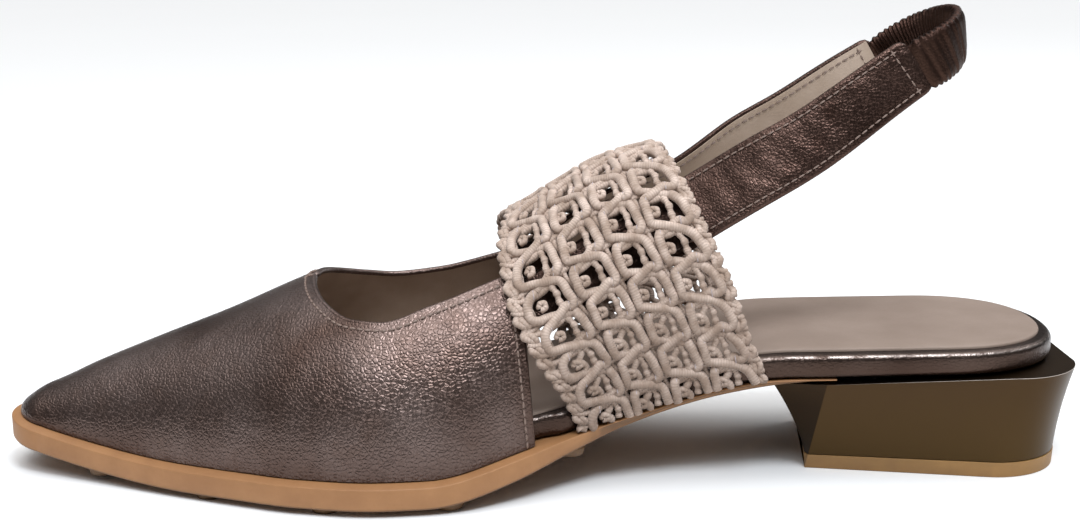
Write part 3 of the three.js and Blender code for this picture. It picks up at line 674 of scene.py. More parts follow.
class ShaderNodes:
    """Builds the nodes of a material or of the surround."""

    def __init__(self, name: str, surround: bool = False) -> None:
        """Makes an empty material, or surround, with its output node.

        Args:
            name: Its name.
            surround: Whether it is the surround.
        """
        owners = bpy.data.worlds if surround else bpy.data.materials
        self.owner = owners.new(name)
        self.owner.use_nodes = True
        self.tree = self.owner.node_tree
        self.tree.nodes.clear()
        self.output = self.tree.nodes.new("ShaderNodeOutputWorld" if surround else "ShaderNodeOutputMaterial")

    def add(self, kind: str, settings: dict, *inputs: object, **named: object) -> Value:
        """Adds a node.

        Args:
            kind: The node's type.
            settings: Attributes to set first.
            inputs: Values or links of its first sockets, or None to leave one.
            named: Values or links by socket name, with underscores for spaces.

        Returns:
            Its first enabled output.
        """
        node = self.tree.nodes.new(kind)
        for key, setting in settings.items():
            setattr(node, key, setting)
        sockets = [s for s in node.inputs if s.enabled]
        wanted = list(zip(sockets, inputs, strict=False))
        for key, value in named.items():
            wanted.append((next(s for s in sockets if s.name == key.replace("_", " ")), value))
        for socket, value in wanted:
            if isinstance(value, Value):
                self.tree.links.new(value.socket, socket)
            elif value is not None:
                socket.default_value = value
        return Value(self, next(s for s in node.outputs if s.enabled))

    def place(self, space: str = "Object") -> Value:
        """Coordinates, in metres, or the surround's direction with Generated."""
        node = self.tree.nodes.new("ShaderNodeTexCoord")
        return Value(self, node.outputs[space])

    def facing(self) -> Value:
        """Direction that the surface faces."""
        node = self.tree.nodes.new("ShaderNodeNewGeometry")
        return Value(self, node.outputs["Normal"])

    def part(self, vector: Value, axis: int) -> Value:
        """One coordinate of a vector.

        Args:
            vector: The vector.
            axis: 0, 1 or 2.

        Returns:
            The coordinate.
        """
        node = self.tree.nodes.new("ShaderNodeSeparateXYZ")
        self.tree.links.new(vector.socket, node.inputs[0])
        return Value(self, node.outputs[axis])

    def attribute(self, name: str) -> Value:
        """A number kept on the mesh.

        Args:
            name: Its name.

        Returns:
            The number.
        """
        node = self.tree.nodes.new("ShaderNodeAttribute")
        node.attribute_name = name
        return Value(self, node.outputs["Fac"])

    def noise(self, place: Value, size_mm: float, detail: float = 3.0, rough: float = 0.55) -> Value:
        """Soft noise whose blobs are about size_mm across.

        Args:
            place: Where it is read.
            size_mm: Size of a blob.
            detail: Finer layers.
            rough: Strength of each finer layer.

        Returns:
            The noise, about 0 to 1.
        """
        scale = 1 / (size_mm * MM)
        return self.add("ShaderNodeTexNoise", {}, place, Scale=scale, Detail=detail, Roughness=rough)

    def stirred(self, place: Value, size_mm: float, reach_mm: float) -> Value:
        """A place moved about by noise, up to about half of reach_mm each way.

        Args:
            place: The place.
            size_mm: Size of the noise.
            reach_mm: Full reach of the move.

        Returns:
            The moved place.
        """
        noise = self.tree.nodes.new("ShaderNodeTexNoise")
        self.tree.links.new(place.socket, noise.inputs["Vector"])
        noise.inputs["Scale"].default_value = 1 / (size_mm * MM)
        swirl = Value(self, noise.outputs["Color"])
        centred = self.add("ShaderNodeVectorMath", {"operation": "ADD"}, swirl, (-0.5, -0.5, -0.5))
        scaled = self.add("ShaderNodeVectorMath", {"operation": "SCALE"}, centred, Scale=reach_mm * MM)
        return self.add("ShaderNodeVectorMath", {"operation": "ADD"}, place, scaled)

    def cells(self, place: Value, size_mm: float, feature: str = "F1") -> Value:
        """Distance in a pattern of cells about size_mm across."""
        return self.add("ShaderNodeTexVoronoi", {"feature": feature}, place, Scale=1 / (size_mm * MM))

    def mix(self, factor: Value | float, a: object, b: object) -> Value:
        """Mix of two colours."""
        return self.add("ShaderNodeMix", {"data_type": "RGBA"}, factor, a, b)

    def bump(
        self, height: Value, distance_mm: float, strength: float = 1.0, under: Value | None = None
    ) -> Value:
        """A normal raised by a height in 0 to 1.

        Args:
            height: The height.
            distance_mm: What a height of 1 stands for.
            strength: Share of it that shows.
            under: A normal to start from.

        Returns:
            The normal.
        """
        made = self.add("ShaderNodeBump", {}, Strength=strength, Distance=distance_mm * MM, Height=height)
        if under is not None:
            self.tree.links.new(under.socket, made.socket.node.inputs["Normal"])
        return made

    def principled(self, **sockets: object) -> Material:
        """Closes the material with a Principled shader.

        Args:
            sockets: Values or links by socket name, with underscores for spaces.

        Returns:
            The finished material.
        """
        shader = self.add("ShaderNodeBsdfPrincipled", {}, **sockets)
        self.tree.links.new(shader.socket, self.output.inputs["Surface"])
        return self.owner


Colour = tuple[float, float, float, float]


def colour(hex_code: str) -> Colour:
    """A linear colour from its usual six digits.

    Args:
        hex_code: Red, green and blue, two digits each.

    Returns:
        The colour, with full cover.
    """
    parts = [int(hex_code[i : i + 2], 16) / 255 for i in (0, 2, 4)]
    linear = [p / 12.92 if p <= 0.04045 else ((p + 0.055) / 1.055) ** 2.4 for p in parts]
    return (linear[0], linear[1], linear[2], 1.0)


@dataclass(frozen=True)
class MetallicLeather:
    """Bronze leather with a metallic film and pebbled grain, painted shade on down-turned faces and an
    optional painted highlight on upturned rounded edges.
    """

    name: str = "bronze_leather"
    deep: Colour = colour("5a4841")
    bright: Colour = colour("8f7f7a")
    warm: Colour = colour("6a554b")
    grain_mm: float = 0.95
    grain_depth_mm: float = 0.1
    roughness: float = 0.25
    metallic: float = 0.9
    # Strength and colour of a painted highlight on upturned rounded edges; 0 leaves it out.
    rub: float = 0.0
    rubbed: Colour = colour("cdbfb8")
    crease_mm: float = 5.5
    creased: float = 0.45
    # Strength and colour of the painted shade on down-turned faces.
    shade: float = 0.6
    low: Colour = colour("3f2c22")

    def material(self) -> Material:
        """Builds the material.

        Returns:
            The finished material.
        """
        n = ShaderNodes(self.name)
        place = n.place()
        stirred = n.stirred(place, 1.6, 0.45 * self.grain_mm)
        pebble = n.cells(stirred, self.grain_mm, "DISTANCE_TO_EDGE")
        fine = n.noise(place, 0.35, 2.0)
        cloud = n.noise(place, 26.0, 2.0, 0.5)
        streak = n.noise(place, 6.0, 3.0)
        height = pebble.stretched(0.0, 0.26) * 0.8 + fine * 0.3
        creases = n.bump(n.noise(n.stirred(place, 14.0, 12.0), self.crease_mm, 2.0), 0.5, self.creased)
        base = n.mix(cloud.stretched(0.32, 0.76), self.deep, self.bright)
        base = n.mix(streak.stretched(0.5, 0.8) * 0.45, base, self.warm)
        base = n.mix((1 - pebble.stretched(0.0, 0.16)) * 0.3, base, self.deep)
        # Painted shade: down-turned faces are mixed towards the low tone.
        turned = (n.part(n.facing(), 2) * -1.0).stretched(-0.55, 0.1)
        base = n.mix(turned * self.shade, base, self.low)
        # Painted highlight: upturned rounded edges are mixed towards a pale tone, broken up by noise.
        if self.rub:
            upturned = n.part(n.facing(), 2)
            highlight_breakup = n.noise(place, 2.2, 2.0).stretched(0.36, 0.62) * self.rub
            edge = upturned.stretched(0.5, 0.64) * (1 - upturned.stretched(0.74, 0.86))
            base = n.mix(edge * highlight_breakup, base, self.rubbed)
        rough = self.roughness + cloud * 0.08 + fine * 0.08
        return n.principled(
            Base_Color=base,
            Metallic=self.metallic,
            Roughness=rough,
            Normal=n.bump(height, self.grain_depth_mm, 0.8, creases),
        )


@dataclass(frozen=True)
class PlainLeather:
    """Undyed lining and sock leather: matte, with fine pores."""

    name: str
    light: Colour
    dark: Colour
    roughness: float = 0.62

    def material(self) -> Material:
        """Builds the material.

        Returns:
            The finished material.
        """
        n = ShaderNodes(self.name)
        place = n.place()
        cloud = n.noise(place, 22.0, 3.0, 0.6)
        pores = n.cells(place, 0.45)
        fine = n.noise(place, 0.6, 3.0)
        base = n.mix(cloud.stretched(0.3, 0.72), self.dark, self.light)
        base = n.mix(fine.stretched(0.45, 0.8) * 0.2, base, self.dark)
        return n.principled(
            Base_Color=base,
            Roughness=self.roughness + fine * 0.12,
            Normal=n.bump(pores * 0.6 + fine * 0.4, 0.04, 0.5),
        )


@dataclass(frozen=True)
class WrappedCord:
    """Thick cord wrapped in fine thread, seen as narrow rings along it, with painted shade underneath and
    towards the floor.
    """

    name: str = "wrapped_cord"
    light: Colour = colour("dcc6b8")
    dark: Colour = colour("a48d7d")
    shaded: Colour = colour("6f5a4b")
    wrap_mm: float = 0.62

    def material(self) -> Material:
        """Builds the material.

        Returns:
            The finished material.
        """
        n = ShaderNodes(self.name)
        place = n.place()
        along = n.attribute("along")
        turns = along * (2 * math.pi / (self.wrap_mm * MM)) + n.noise(place, 0.8) * 2.0
        rings = turns.sine() * 0.5 + 0.5
        patch = n.noise(place, 3.5, 2.0)
        base = n.mix(patch.stretched(0.35, 0.7), self.dark, self.light)
        base = n.mix((1 - rings).stretched(0.35, 1.0) * 0.4, base, self.dark)
        # Painted shade: darker on down-turned faces and towards the floor.
        turned = (n.part(n.facing(), 2) * -1.0).stretched(-0.5, 0.6)
        low = 1 - n.part(place, 2).stretched(0.018, 0.06)
        base = n.mix(turned * 0.6 + low * 0.3, base, self.shaded)
        return n.principled(
            Base_Color=base,
            Roughness=0.72,
            Sheen_Weight=0.15,
            Normal=n.bump(rings, 0.1, 0.75),
        )


@dataclass(frozen=True)
class Thread:
    """Twisted sewing thread."""

    name: str
    tint: Colour
    roughness: float = 0.55

    def material(self) -> Material:
        """Builds the material.

        Returns:
            The finished material.
        """
        n = ShaderNodes(self.name)
        fibre = n.noise(n.place(), 0.25, 2.0)
        dark = tuple(0.6 * c for c in self.tint[:3]) + (1.0,)
        return n.principled(
            Base_Color=n.mix(fibre.stretched(0.3, 0.7), dark, self.tint),
            Roughness=self.roughness,
            Normal=n.bump(fibre, 0.03, 0.6),
        )


@dataclass(frozen=True)
class TanRubber:
    """Tan sole rubber, with painted shade on its down-turned faces."""

    name: str
    light: Colour
    dark: Colour
    roughness: float = 0.5
    # Colour of the painted shade on down-turned faces.
    tread: Colour = colour("5a4129")

    def material(self) -> Material:
        """Builds the material.

        Returns:
            The finished material.
        """
        n = ShaderNodes(self.name)
        place = n.place()
        cloud = n.noise(place, 9.0, 4.0)
        speck = n.noise(place, 0.7, 3.0)
        base = n.mix(cloud.stretched(0.3, 0.75), self.dark, self.light)
        base = n.mix(speck.stretched(0.55, 0.8) * 0.25, base, self.dark)
        # Painted shade on down-turned faces.
        base = n.mix((n.part(n.facing(), 2) * -1.0).stretched(0.1, 0.5) * 0.75, base, self.tread)
        return n.principled(
            Base_Color=base,
            Roughness=self.roughness + speck * 0.15,
            Normal=n.bump(speck, 0.03, 0.5),
        )


@dataclass(frozen=True)
class HeelLacquer:
    """Bronze lacquer on the heel block, with a painted reflection greyer at the top and warmer towards the
    floor, painted shade on the breast and a painted highlight on the top edge.
    """

    name: str = "heel_lacquer"
    # Top and foot ends of a painted reflection that runs up the block.
    top: Colour = colour("453525")
    foot: Colour = colour("4c3b24")
    # Colour of the painted shade on the breast.
    breast: Colour = colour("241c17")
    # Colour of the painted highlight on the upturned top edge.
    edge: Colour = colour("d0c4ba")
    height_mm: float = 24.8

    def material(self) -> Material:
        """Builds the material.

        Returns:
            The finished material.
        """
        n = ShaderNodes(self.name)
        place = n.place()
        rise = (n.part(place, 2) * (1 / (self.height_mm * MM))).clamped()
        mottle = n.noise(place, 5.0, 4.0)
        # Painted reflection: greyer at the top, warmer towards the floor.
        base = n.mix(rise, self.foot, self.top)
        base = n.mix(mottle.stretched(0.4, 0.75) * 0.2, base, self.foot)
        facing = n.facing()
        # Painted shade on the breast, which faces the toe.
        base = n.mix((n.part(facing, 0) * -1.0).stretched(0.15, 0.5) * 0.75, base, self.breast)
        # Painted highlight on the upturned top edge, which is also made less metallic.
        upturned = n.part(facing, 2)
        edge = upturned.stretched(0.12, 0.35) * (1 - upturned.stretched(0.93, 0.99))
        base = n.mix(edge, base, self.edge)
        return n.principled(
            Base_Color=base,
            Metallic=1 - edge * 0.85,
            Roughness=0.36 + mottle * 0.06,
            Normal=n.bump(n.noise(place, 0.5, 2.0), 0.012, 0.4),
        )


class TreeMaker:
    """Builds a geometry node tree and runs it on an object."""

    def __init__(self, name: str) -> None:
        """Makes an empty tree with a geometry input and output.

        Args:
            name: The tree's name.
        """
        self.tree = bpy.data.node_groups.new(name, "GeometryNodeTree")
        self.tree.interface.new_socket("Geometry", in_out="INPUT", socket_type="NodeSocketGeometry")
        self.tree.interface.new_socket("Geometry", in_out="OUTPUT", socket_type="NodeSocketGeometry")
        self.source = self.tree.nodes.new("NodeGroupInput")
        self.target = self.tree.nodes.new("NodeGroupOutput")
        self.identifiers: dict[str, str] = {}

    def number(self, name: str, kind: str = "NodeSocketFloat") -> NodeSocket:
        """Adds a named input.

        Args:
            name: The input's name.
            kind: The type of its socket.

        Returns:
            Its socket inside the tree.
        """
        socket = self.tree.interface.new_socket(name, in_out="INPUT", socket_type=kind)
        self.identifiers[name] = socket.identifier
        return next(s for s in self.source.outputs if s.identifier == socket.identifier)

    def add(self, kind: str, settings: dict | None = None, **inputs: object) -> Node:
        """Adds a node.

        Args:
            kind: The node's type.
            settings: Attributes to set first.
            inputs: Values or links by socket name, with underscores for spaces.

        Returns:
            The node.
        """
        node = self.tree.nodes.new(kind)
        for key, setting in (settings or {}).items():
            setattr(node, key, setting)
        for key, value in inputs.items():
            socket = next(s for s in node.inputs if s.enabled and s.name == key.replace("_", " "))
            if isinstance(value, NodeSocket):
                self.tree.links.new(value, socket)
            else:
                socket.default_value = value
        return node

    def close(self, geometry: NodeSocket, material: NodeSocket) -> None:
        """Ends the tree in Realize Instances and Set Material.

        Args:
            geometry: What comes out.
            material: Its finish.
        """
        real = self.add("GeometryNodeRealizeInstances", Geometry=geometry)
        smooth = self.add("GeometryNodeSetShadeSmooth", Geometry=real.outputs[0])
        dressed = self.add("GeometryNodeSetMaterial", Geometry=smooth.outputs[0], Material=material)
        self.tree.links.new(dressed.outputs[0], self.target.inputs[0])

    def run(self, source: Object, values: dict[str, object]) -> Object:
        """Runs the tree on an object and replaces it by the plain mesh that comes out.

        Args:
            source: The object to work on.
            values: Input values by name.

        Returns:
            The new object, under the old name.
        """
        modifier = source.modifiers.new("tree", "NODES")
        modifier.node_group = self.tree
        for name, value in values.items():
            modifier[self.identifiers[name]] = value
        mesh, name = worked_mesh(source), source.name
        bpy.data.objects.remove(source)
        return linked(name, mesh)


class CordTree(TreeMaker):
    """Sweeps round cord along loose edges, with its length kept for the wrap."""

    def __init__(self) -> None:
        """Builds the tree."""
        super().__init__("swept_cord")
        sides = self.number("Sides", "NodeSocketInt")
        material = self.number("Material", "NodeSocketMaterial")
        curve = self.add("GeometryNodeMeshToCurve", Mesh=self.source.outputs[0])
        half = self.add("GeometryNodeInputNamedAttribute", {"data_type": "FLOAT"}, Name="half_thickness")
        length = self.add("GeometryNodeSplineParameter")
        kept = self.add(
            "GeometryNodeStoreNamedAttribute",
            {"data_type": "FLOAT", "domain": "POINT"},
            Geometry=curve.outputs[0],
            Name="along",
            Value=length.outputs["Length"],
        )
        ring = self.add("GeometryNodeCurvePrimitiveCircle", Resolution=sides, Radius=1.0)
        swept = self.add(
            "GeometryNodeCurveToMesh",
            Curve=kept.outputs[0],
            Profile_Curve=ring.outputs[0],
            Scale=half.outputs[0],
            Fill_Caps=True,
        )
        self.close(swept.outputs[0], material)


class StitchTree(TreeMaker):
    """Sets one stitch after another along loose edges."""

    half_length: float = 0.44

    def __init__(self) -> None:
        """Builds the tree."""
        super().__init__("stitch_row")
        pitch = self.number("Pitch")
        half = self.number("Half thickness")
        material = self.number("Material", "NodeSocketMaterial")
        curve = self.add("GeometryNodeMeshToCurve", Mesh=self.source.outputs[0])
        points = self.add(
            "GeometryNodeCurveToPoints", {"mode": "LENGTH"}, Curve=curve.outputs[0], Length=pitch
        )
        ball = self.add("GeometryNodeMeshUVSphere", Segments=8, Rings=6, Radius=1.0)
        long = self.add("ShaderNodeMath", {"operation": "MULTIPLY"})
        self.tree.links.new(pitch, long.inputs[0])
        long.inputs[1].default_value = self.half_length
        size = self.add("ShaderNodeCombineXYZ", X=half, Y=half, Z=long.outputs[0])
        placed = self.add(
            "GeometryNodeInstanceOnPoints",
            Points=points.outputs["Points"],
            Instance=ball.outputs[0],
            Rotation=points.outputs["Rotation"],
            Scale=size.outputs[0],
        )
        self.close(placed.outputs[0], material)


class StudTree(TreeMaker):
    """Sets one round stud on each point."""

    def __init__(self) -> None:
        """Builds the tree."""
        super().__init__("stud_row")
        radius = self.number("Radius")
        height = self.number("Height")
        material = self.number("Material", "NodeSocketMaterial")
        stud = self.add(
            "GeometryNodeMeshCone",
            Vertices=28,
            Side_Segments=3,
            Fill_Segments=2,
            Radius_Top=1.0,
            Radius_Bottom=0.86,
            Depth=1.0,
        )
        size = self.add("ShaderNodeCombineXYZ", X=radius, Y=radius, Z=height)
        placed = self.add(
            "GeometryNodeInstanceOnPoints",
            Points=self.source.outputs[0],
            Instance=stud.outputs[0],
            Scale=size.outputs[0],
        )
        self.close(placed.outputs[0], material)


def dress(piece: Object, material: Material | None, slot: str, *nodes: str) -> None:
    """Gives a finished piece its material and body, and hides the solids that it stands for.

    Args:
        piece: The piece.
        material: Its finish, or None if its mesh has it already.
        slot: The record's material slot; not used.
        nodes: Solids that it replaces.
    """
    if material is not None:
        piece.data.materials.clear()
        piece.data.materials.append(material)
    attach(piece, ROOT)
    if nodes:
        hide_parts(*nodes)
    LOG.info("%s: %d faces", piece.name, len(piece.data.polygons))


def bevelled(piece: Object, width: float, angle_deg: float, segments: int = 3) -> Object:
    """Rounds a piece's sharp edges and keeps the result in its mesh.

    Args:
        piece: The piece.
        width: Width of the rounding.
        angle_deg: Angle past which an edge is sharp.
        segments: Steps in the rounding.

    Returns:
        The same piece.
    """
    modifier = piece.modifiers.new("round", "BEVEL")
    modifier.width = width * MM
    modifier.segments = segments
    modifier.limit_method = "ANGLE"
    modifier.angle_limit = math.radians(angle_deg)
    modifier.harden_normals = True
    piece.data = worked_mesh(piece)
    return piece


class Finishes:
    """Every material of the shoe, made once."""

    def __init__(self) -> None:
        """Makes the materials."""
        self.leather = MetallicLeather().material()
        self.dark_leather = MetallicLeather(
            "gathered_leather", colour("2c1d18"), colour("4a352d"), colour("42261f"),
            grain_mm=0.9, grain_depth_mm=0.05, roughness=0.36,
        ).material()
        # The wrap leather gets the painted highlight on its rounded top edge.
        self.wrap_leather = MetallicLeather(
            "wrap_leather", colour("3f332e"), colour("64564f"), colour("4d3d36"),
            grain_mm=0.9, grain_depth_mm=0.06, roughness=0.24, rub=0.55,
        ).material()
        self.strap_leather = MetallicLeather(
            "strap_leather", colour("2d1f1a"), colour("665048"), colour("452f27"),
            grain_mm=0.8, grain_depth_mm=0.07, roughness=0.23, creased=0.9, shade=0.3,
        ).material()
        self.lining = PlainLeather("lining_leather", colour("bca897"), colour("9b8673")).material()
        self.sock = PlainLeather("sock_leather", colour("968478"), colour("877569")).material()
        self.cord = WrappedCord().material()
        self.tie = Thread("tie_thread", colour("cbbfc2"), 0.4).material()
        self.stitch = Thread("stitch_thread", colour("8a7469"), 0.4).material()
        self.sole = TanRubber("tan_sole", colour("a97a4f"), colour("966942")).material()
        self.lift = TanRubber("top_lift_rubber", colour("a67c44"), colour("8d6839"), 0.45).material()
        self.stud = TanRubber("stud_rubber", colour("7b5a38"), colour("5f4429")).material()
        self.heel = HeelLacquer().material()


@dataclass
class Sole:
    """Outsole with its ledge, bevel and studs."""

    last: Last
    bevel: float = 0.7
    stud_radius: float = 3.6
    stud_pitch: float = 27.8
    stud_rows: int = 10
    first_stud: float = 0.099
    stud_margin: float = 1.4
    stud_root: float = 0.5
    stations: int = 130

    def body(self) -> Object:
        """Outsole from tip to tail, with rounded edges.

        Returns:
            The piece.
        """
        last = self.last
        tail = float(last.x_at(last.sole_tail))
        xs = round_stations(last.tip, tail, last.toe_closure, 0, self.stations)

        def level(reach: Callable[[Points], Points], height: Callable[[Points], Points]) -> tuple:
            """One loop of the stack."""
            rows = last.plan_rows(xs, reach, tail)
            return tuple(np.column_stack([row, height(row[:, 0])]) for row in rows)

        def rounded(turn: float, top: bool) -> tuple:
            """Loop part of the way round an edge.

            Args:
                turn: Angle round the edge, a quarter turn at the side.
                top: Whether it is the upper edge.

            Returns:
                Outer and inner rows of points.
            """
            inset, rise = self.bevel * (1 - math.sin(turn)), self.bevel * (1 - math.cos(turn))
            if top:
                return level(
                    lambda x: last.ledge(x) - inset * 0.6,
                    lambda x: last.tread(x) + last.edge(x) - rise * 0.5,
                )
            return level(lambda x: last.ledge(x) - last.flare(x) - inset, lambda x: last.tread(x) + rise)

        turns = np.linspace(0, math.pi / 2, 5)
        levels = [rounded(float(t), False) for t in turns]
        levels += [rounded(float(t), True) for t in turns[::-1]]
        levels.append(level(lambda x: last.ledge(x) - last.ledge_width * 0.8, last.sole_top))
        return stack_object("outsole_body", levels)

    def stud_places(self) -> Points:
        """Middles of the studs, in rows of two or three with pairs between them.

        Returns:
            One point per row.
        """
        last = self.last
        places = []
        for row in range(self.stud_rows):
            x = float(last.x_at(self.first_stud)) + row * self.stud_pitch / 2
            for share in (-1.0, 0.0, 1.0) if row % 2 == 0 else (-0.5, 0.5):
                half = last.half_width(-1 if share < 0 else 1, x)
                reach = float(half + last.ledge(x) - last.flare(x))
                room = reach - self.stud_margin * self.stud_radius
                if share == 0 and room < 5 * self.stud_radius:
                    continue
                places.append((x, share * room, float(last.tread(x)) - last.stud_height + 0.02))
        return np.array(places)

    def build(self, finishes: Finishes) -> None:
        """Makes and dresses the sole's pieces.

        Args:
            finishes: The materials.
        """
        dress(self.body(), finishes.sole, "tan_sole", "outsole")
        points = line_object("outsole_studs", [self.stud_places()])
        values = {
            "Radius": self.stud_radius * MM,
            "Height": (self.last.stud_height + self.stud_root) * MM,
            "Material": finishes.stud,
        }
        dress(StudTree().run(points, values), None, "tan_sole")


@dataclass
class Heel:
    """Block heel with its breast, bevels and top lift."""

    last: Last
    lift_height: float = 3.7
    base_length: float = 60.8
    top_length: float = 61.2
    front_half: float = 17.9
    back_half: float = 27.4
    top_front_half: float = 27.8
    top_back_half: float = 30.1
    breast_reach: float = 10.7
    breast_setback: float = 0.5
    corner: float = 15.0
    skew: float = 5.2
    base_centre: float = 0.457
    top_centre: float = 0.399
    breast_curve: float = 1.6
    breast_inset: float = 1.2
    breast_spread: float = 3.5
    back_pull: float = 1.2
    tail_room: float = -22.0
    lift_swell: float = 0.12
    block_bevel: float = 0.6
    lift_bevel: float = 0.25
    crisp_deg: float = 14.0
    levels: int = 15

    def outline(self, share: float, swell: float) -> tuple[Points, Points]:
        """Outer and inner rows of the heel's outline at a share of its height.

        Args:
            share: Share of the seat's height.
            swell: How far the outline is moved outwards.

        Returns:
            Outer and inner rows of x and y.
        """
        front = -self.base_centre * self.base_length
        side_x = lerp(front, -self.top_centre * self.top_length, share)
        back_x = lerp(front + self.base_length, side_x + self.top_length, share) + swell
        front_half = lerp(self.front_half, self.top_front_half, share) + swell
        back_half = lerp(self.back_half, self.top_back_half, share) + swell
        breast_x = front + self.breast_setback - self.breast_reach * share**self.breast_curve - swell
        breast_half = self.front_half + lerp(-self.breast_inset, self.breast_spread, share)
        lean = math.atan2(back_half - front_half, back_x - self.corner - side_x)
        rows = []
        for sign in (1, -1):
            back = self.skew * (1 - share) if sign > 0 else 0.0
            points = [
                (breast_x + back, sign * (breast_half - 0.5 * back)),
                (side_x + 0.8 * back, sign * front_half),
            ]
            for angle in np.linspace(-lean, math.pi / 2, 25):
                x = back_x - self.corner * (1 - math.sin(angle)) - self.back_pull * math.cos(angle)
                points.append((x, sign * (back_half - self.corner * (1 - math.cos(angle)))))
            rows.append(np.array(points))
        return rows[0], rows[1]

    def block(self) -> Object:
        """The lacquered block, hollowed at its front top for the outsole's tail.

        Returns:
            The piece.
        """
        top = self.last.seat_height
        heights = np.linspace(self.lift_height + self.last.gap / 2, top, self.levels)
        levels = []
        for z in heights:
            rows = self.outline(float(z) / top, 0.0)
            level = []
            for row in rows:
                roof = self.last.tread(row[:, 0]) - self.last.gap
                limit = np.where(row[:, 0] < self.tail_room, roof, top)
                level.append(np.column_stack([row, np.minimum(z, limit)]))
            levels.append(tuple(level))
        block = stack_object("heel_block_lacquered", levels, self.crisp_deg)
        return bevelled(block, self.block_bevel, self.crisp_deg)

    def lift(self) -> Object:
        """The rubber top lift under the block.

        Returns:
            The piece.
        """
        top = self.last.seat_height
        levels = []
        for z in (0.0, self.lift_height):
            rows = self.outline(z / top, self.lift_swell)
            levels.append(tuple(np.column_stack([row, np.full(len(row), z)]) for row in rows))
        lift = stack_object("heel_top_lift", levels, self.crisp_deg)
        return bevelled(lift, self.lift_bevel, self.crisp_deg)

    def build(self, finishes: Finishes) -> None:
        """Makes and dresses the heel's pieces."""
        dress(self.block(), finishes.heel, "heel_lacquer", "heel_block")
        dress(self.lift(), finishes.lift, "top_lift_rubber", "top_lift")


@dataclass
class Footbed:
    """Wrapped footbed and the sock that lies in its rim."""

    last: Last
    thickness: float = 5.6
    sock_thickness: float = 0.8
    sock_inset: float = 3.0
    wall: float = 1.5
    start: float = 0.045
    edge_round: float = 1.7
    inside_vamp: float = 1.6
    narrows: tuple[float, float] = (0.513, 0.533)
    sock_narrows: tuple[float, float] = (0.507, 0.537)
    heel_rise: float = 0.72
    toe_thin: float = 0.5
    toe_fade: tuple[float, float] = (0.05, 0.5)
    toe_turn: float = 5.0
    stations: int = 120

    def bottom(self, x: Points) -> Points:
        """Height of the footbed's underside.

        Args:
            x: Places along the shoe.

        Returns:
            The heights.
        """
        on_sole = self.last.sole_top(x) + self.last.gap
        on_heel = self.last.seat_height + self.last.gap
        return lerp(on_sole, on_heel, self.last.blend_over(x, self.heel_rise, self.last.sole_tail))

    def depth(self, x: Points) -> Points:
        """Thickness of the footbed, thinner towards the toe."""
        return self.thickness * lerp(self.toe_thin, 1.0, self.last.blend_over(x, *self.toe_fade))

    def top(self, x: Points) -> Points:
        """Height of the footbed's top."""
        return self.bottom(x) + self.depth(x)

    def inset(self, x: Points) -> Points:
        """How far the footbed stays inside the vamp's wall."""
        inside = -self.wall - self.last.gap - self.inside_vamp
        return lerp(inside, 0.0, self.last.blend_over(x, *self.narrows))

    def body(self) -> Object:
        """The wrapped footbed, round along both edges.

        Returns:
            The piece.
        """
        last = self.last
        front = float(last.x_at(self.start))
        xs = round_stations(front, last.seat_back - 0.01, self.toe_turn, last.seat_closure, self.stations)
        levels = []
        turns = np.linspace(0, math.pi / 2, 7)
        profile = [(1 - math.sin(t), 1 - math.cos(t), 0.0) for t in turns]
        profile += [(1 - math.sin(t), 1 - math.cos(t), 1.0) for t in turns[::-1]]
        for pull, rise, upper in profile:
            def reach(x: Points, pull: float = pull) -> Points:
                """Plan distance of this loop."""
                return self.inset(x) - self.edge_round * pull * self.depth(x) / self.thickness

            rows = last.plan_rows(xs, reach, last.seat_back)
            level = []
            for row in rows:
                x = row[:, 0]
                curl = self.edge_round * rise * self.depth(x) / self.thickness
                z = np.where(upper > 0.5, self.top(x) - curl, self.bottom(x) + curl)
                level.append(np.column_stack([row, z]))
            levels.append(tuple(level))
        return stack_object("footbed_wrap", levels)

    def sock(self) -> Object:
        """The sock leather, with a turned-down edge.

        Returns:
            The piece.
        """
        last = self.last
        front = float(last.x_at(self.start + 0.03))
        xs = round_stations(front, last.seat_back - 0.01, self.toe_turn, last.seat_closure, self.stations)

        def reach(x: Points) -> Points:
            """Plan distance of the sock's edge."""
            inside = lerp(self.wall + last.gap, 0.0, last.blend_over(x, *self.sock_narrows))
            return -self.sock_inset - inside

        levels = []
        for pull, rise in ((0.0, 0.05), (0.0, 0.5), (0.15, 0.8), (0.5, 1.0), (1.4, 1.08)):
            rows = last.plan_rows(xs, lambda x, pull=pull: reach(x) - pull, last.seat_back)
            lift = rise * self.sock_thickness
            levels.append(tuple(np.column_stack([row, self.top(row[:, 0]) + lift]) for row in rows))
        return stack_object("sock_leather_sheet", levels)

    def build(self, finishes: Finishes) -> None:
        """Makes and dresses the footbed's pieces."""
        dress(self.body(), finishes.wrap_leather, "metallic_leather", "footbed")
        dress(self.sock(), finishes.sock, "sock_leather", "sock_lining")


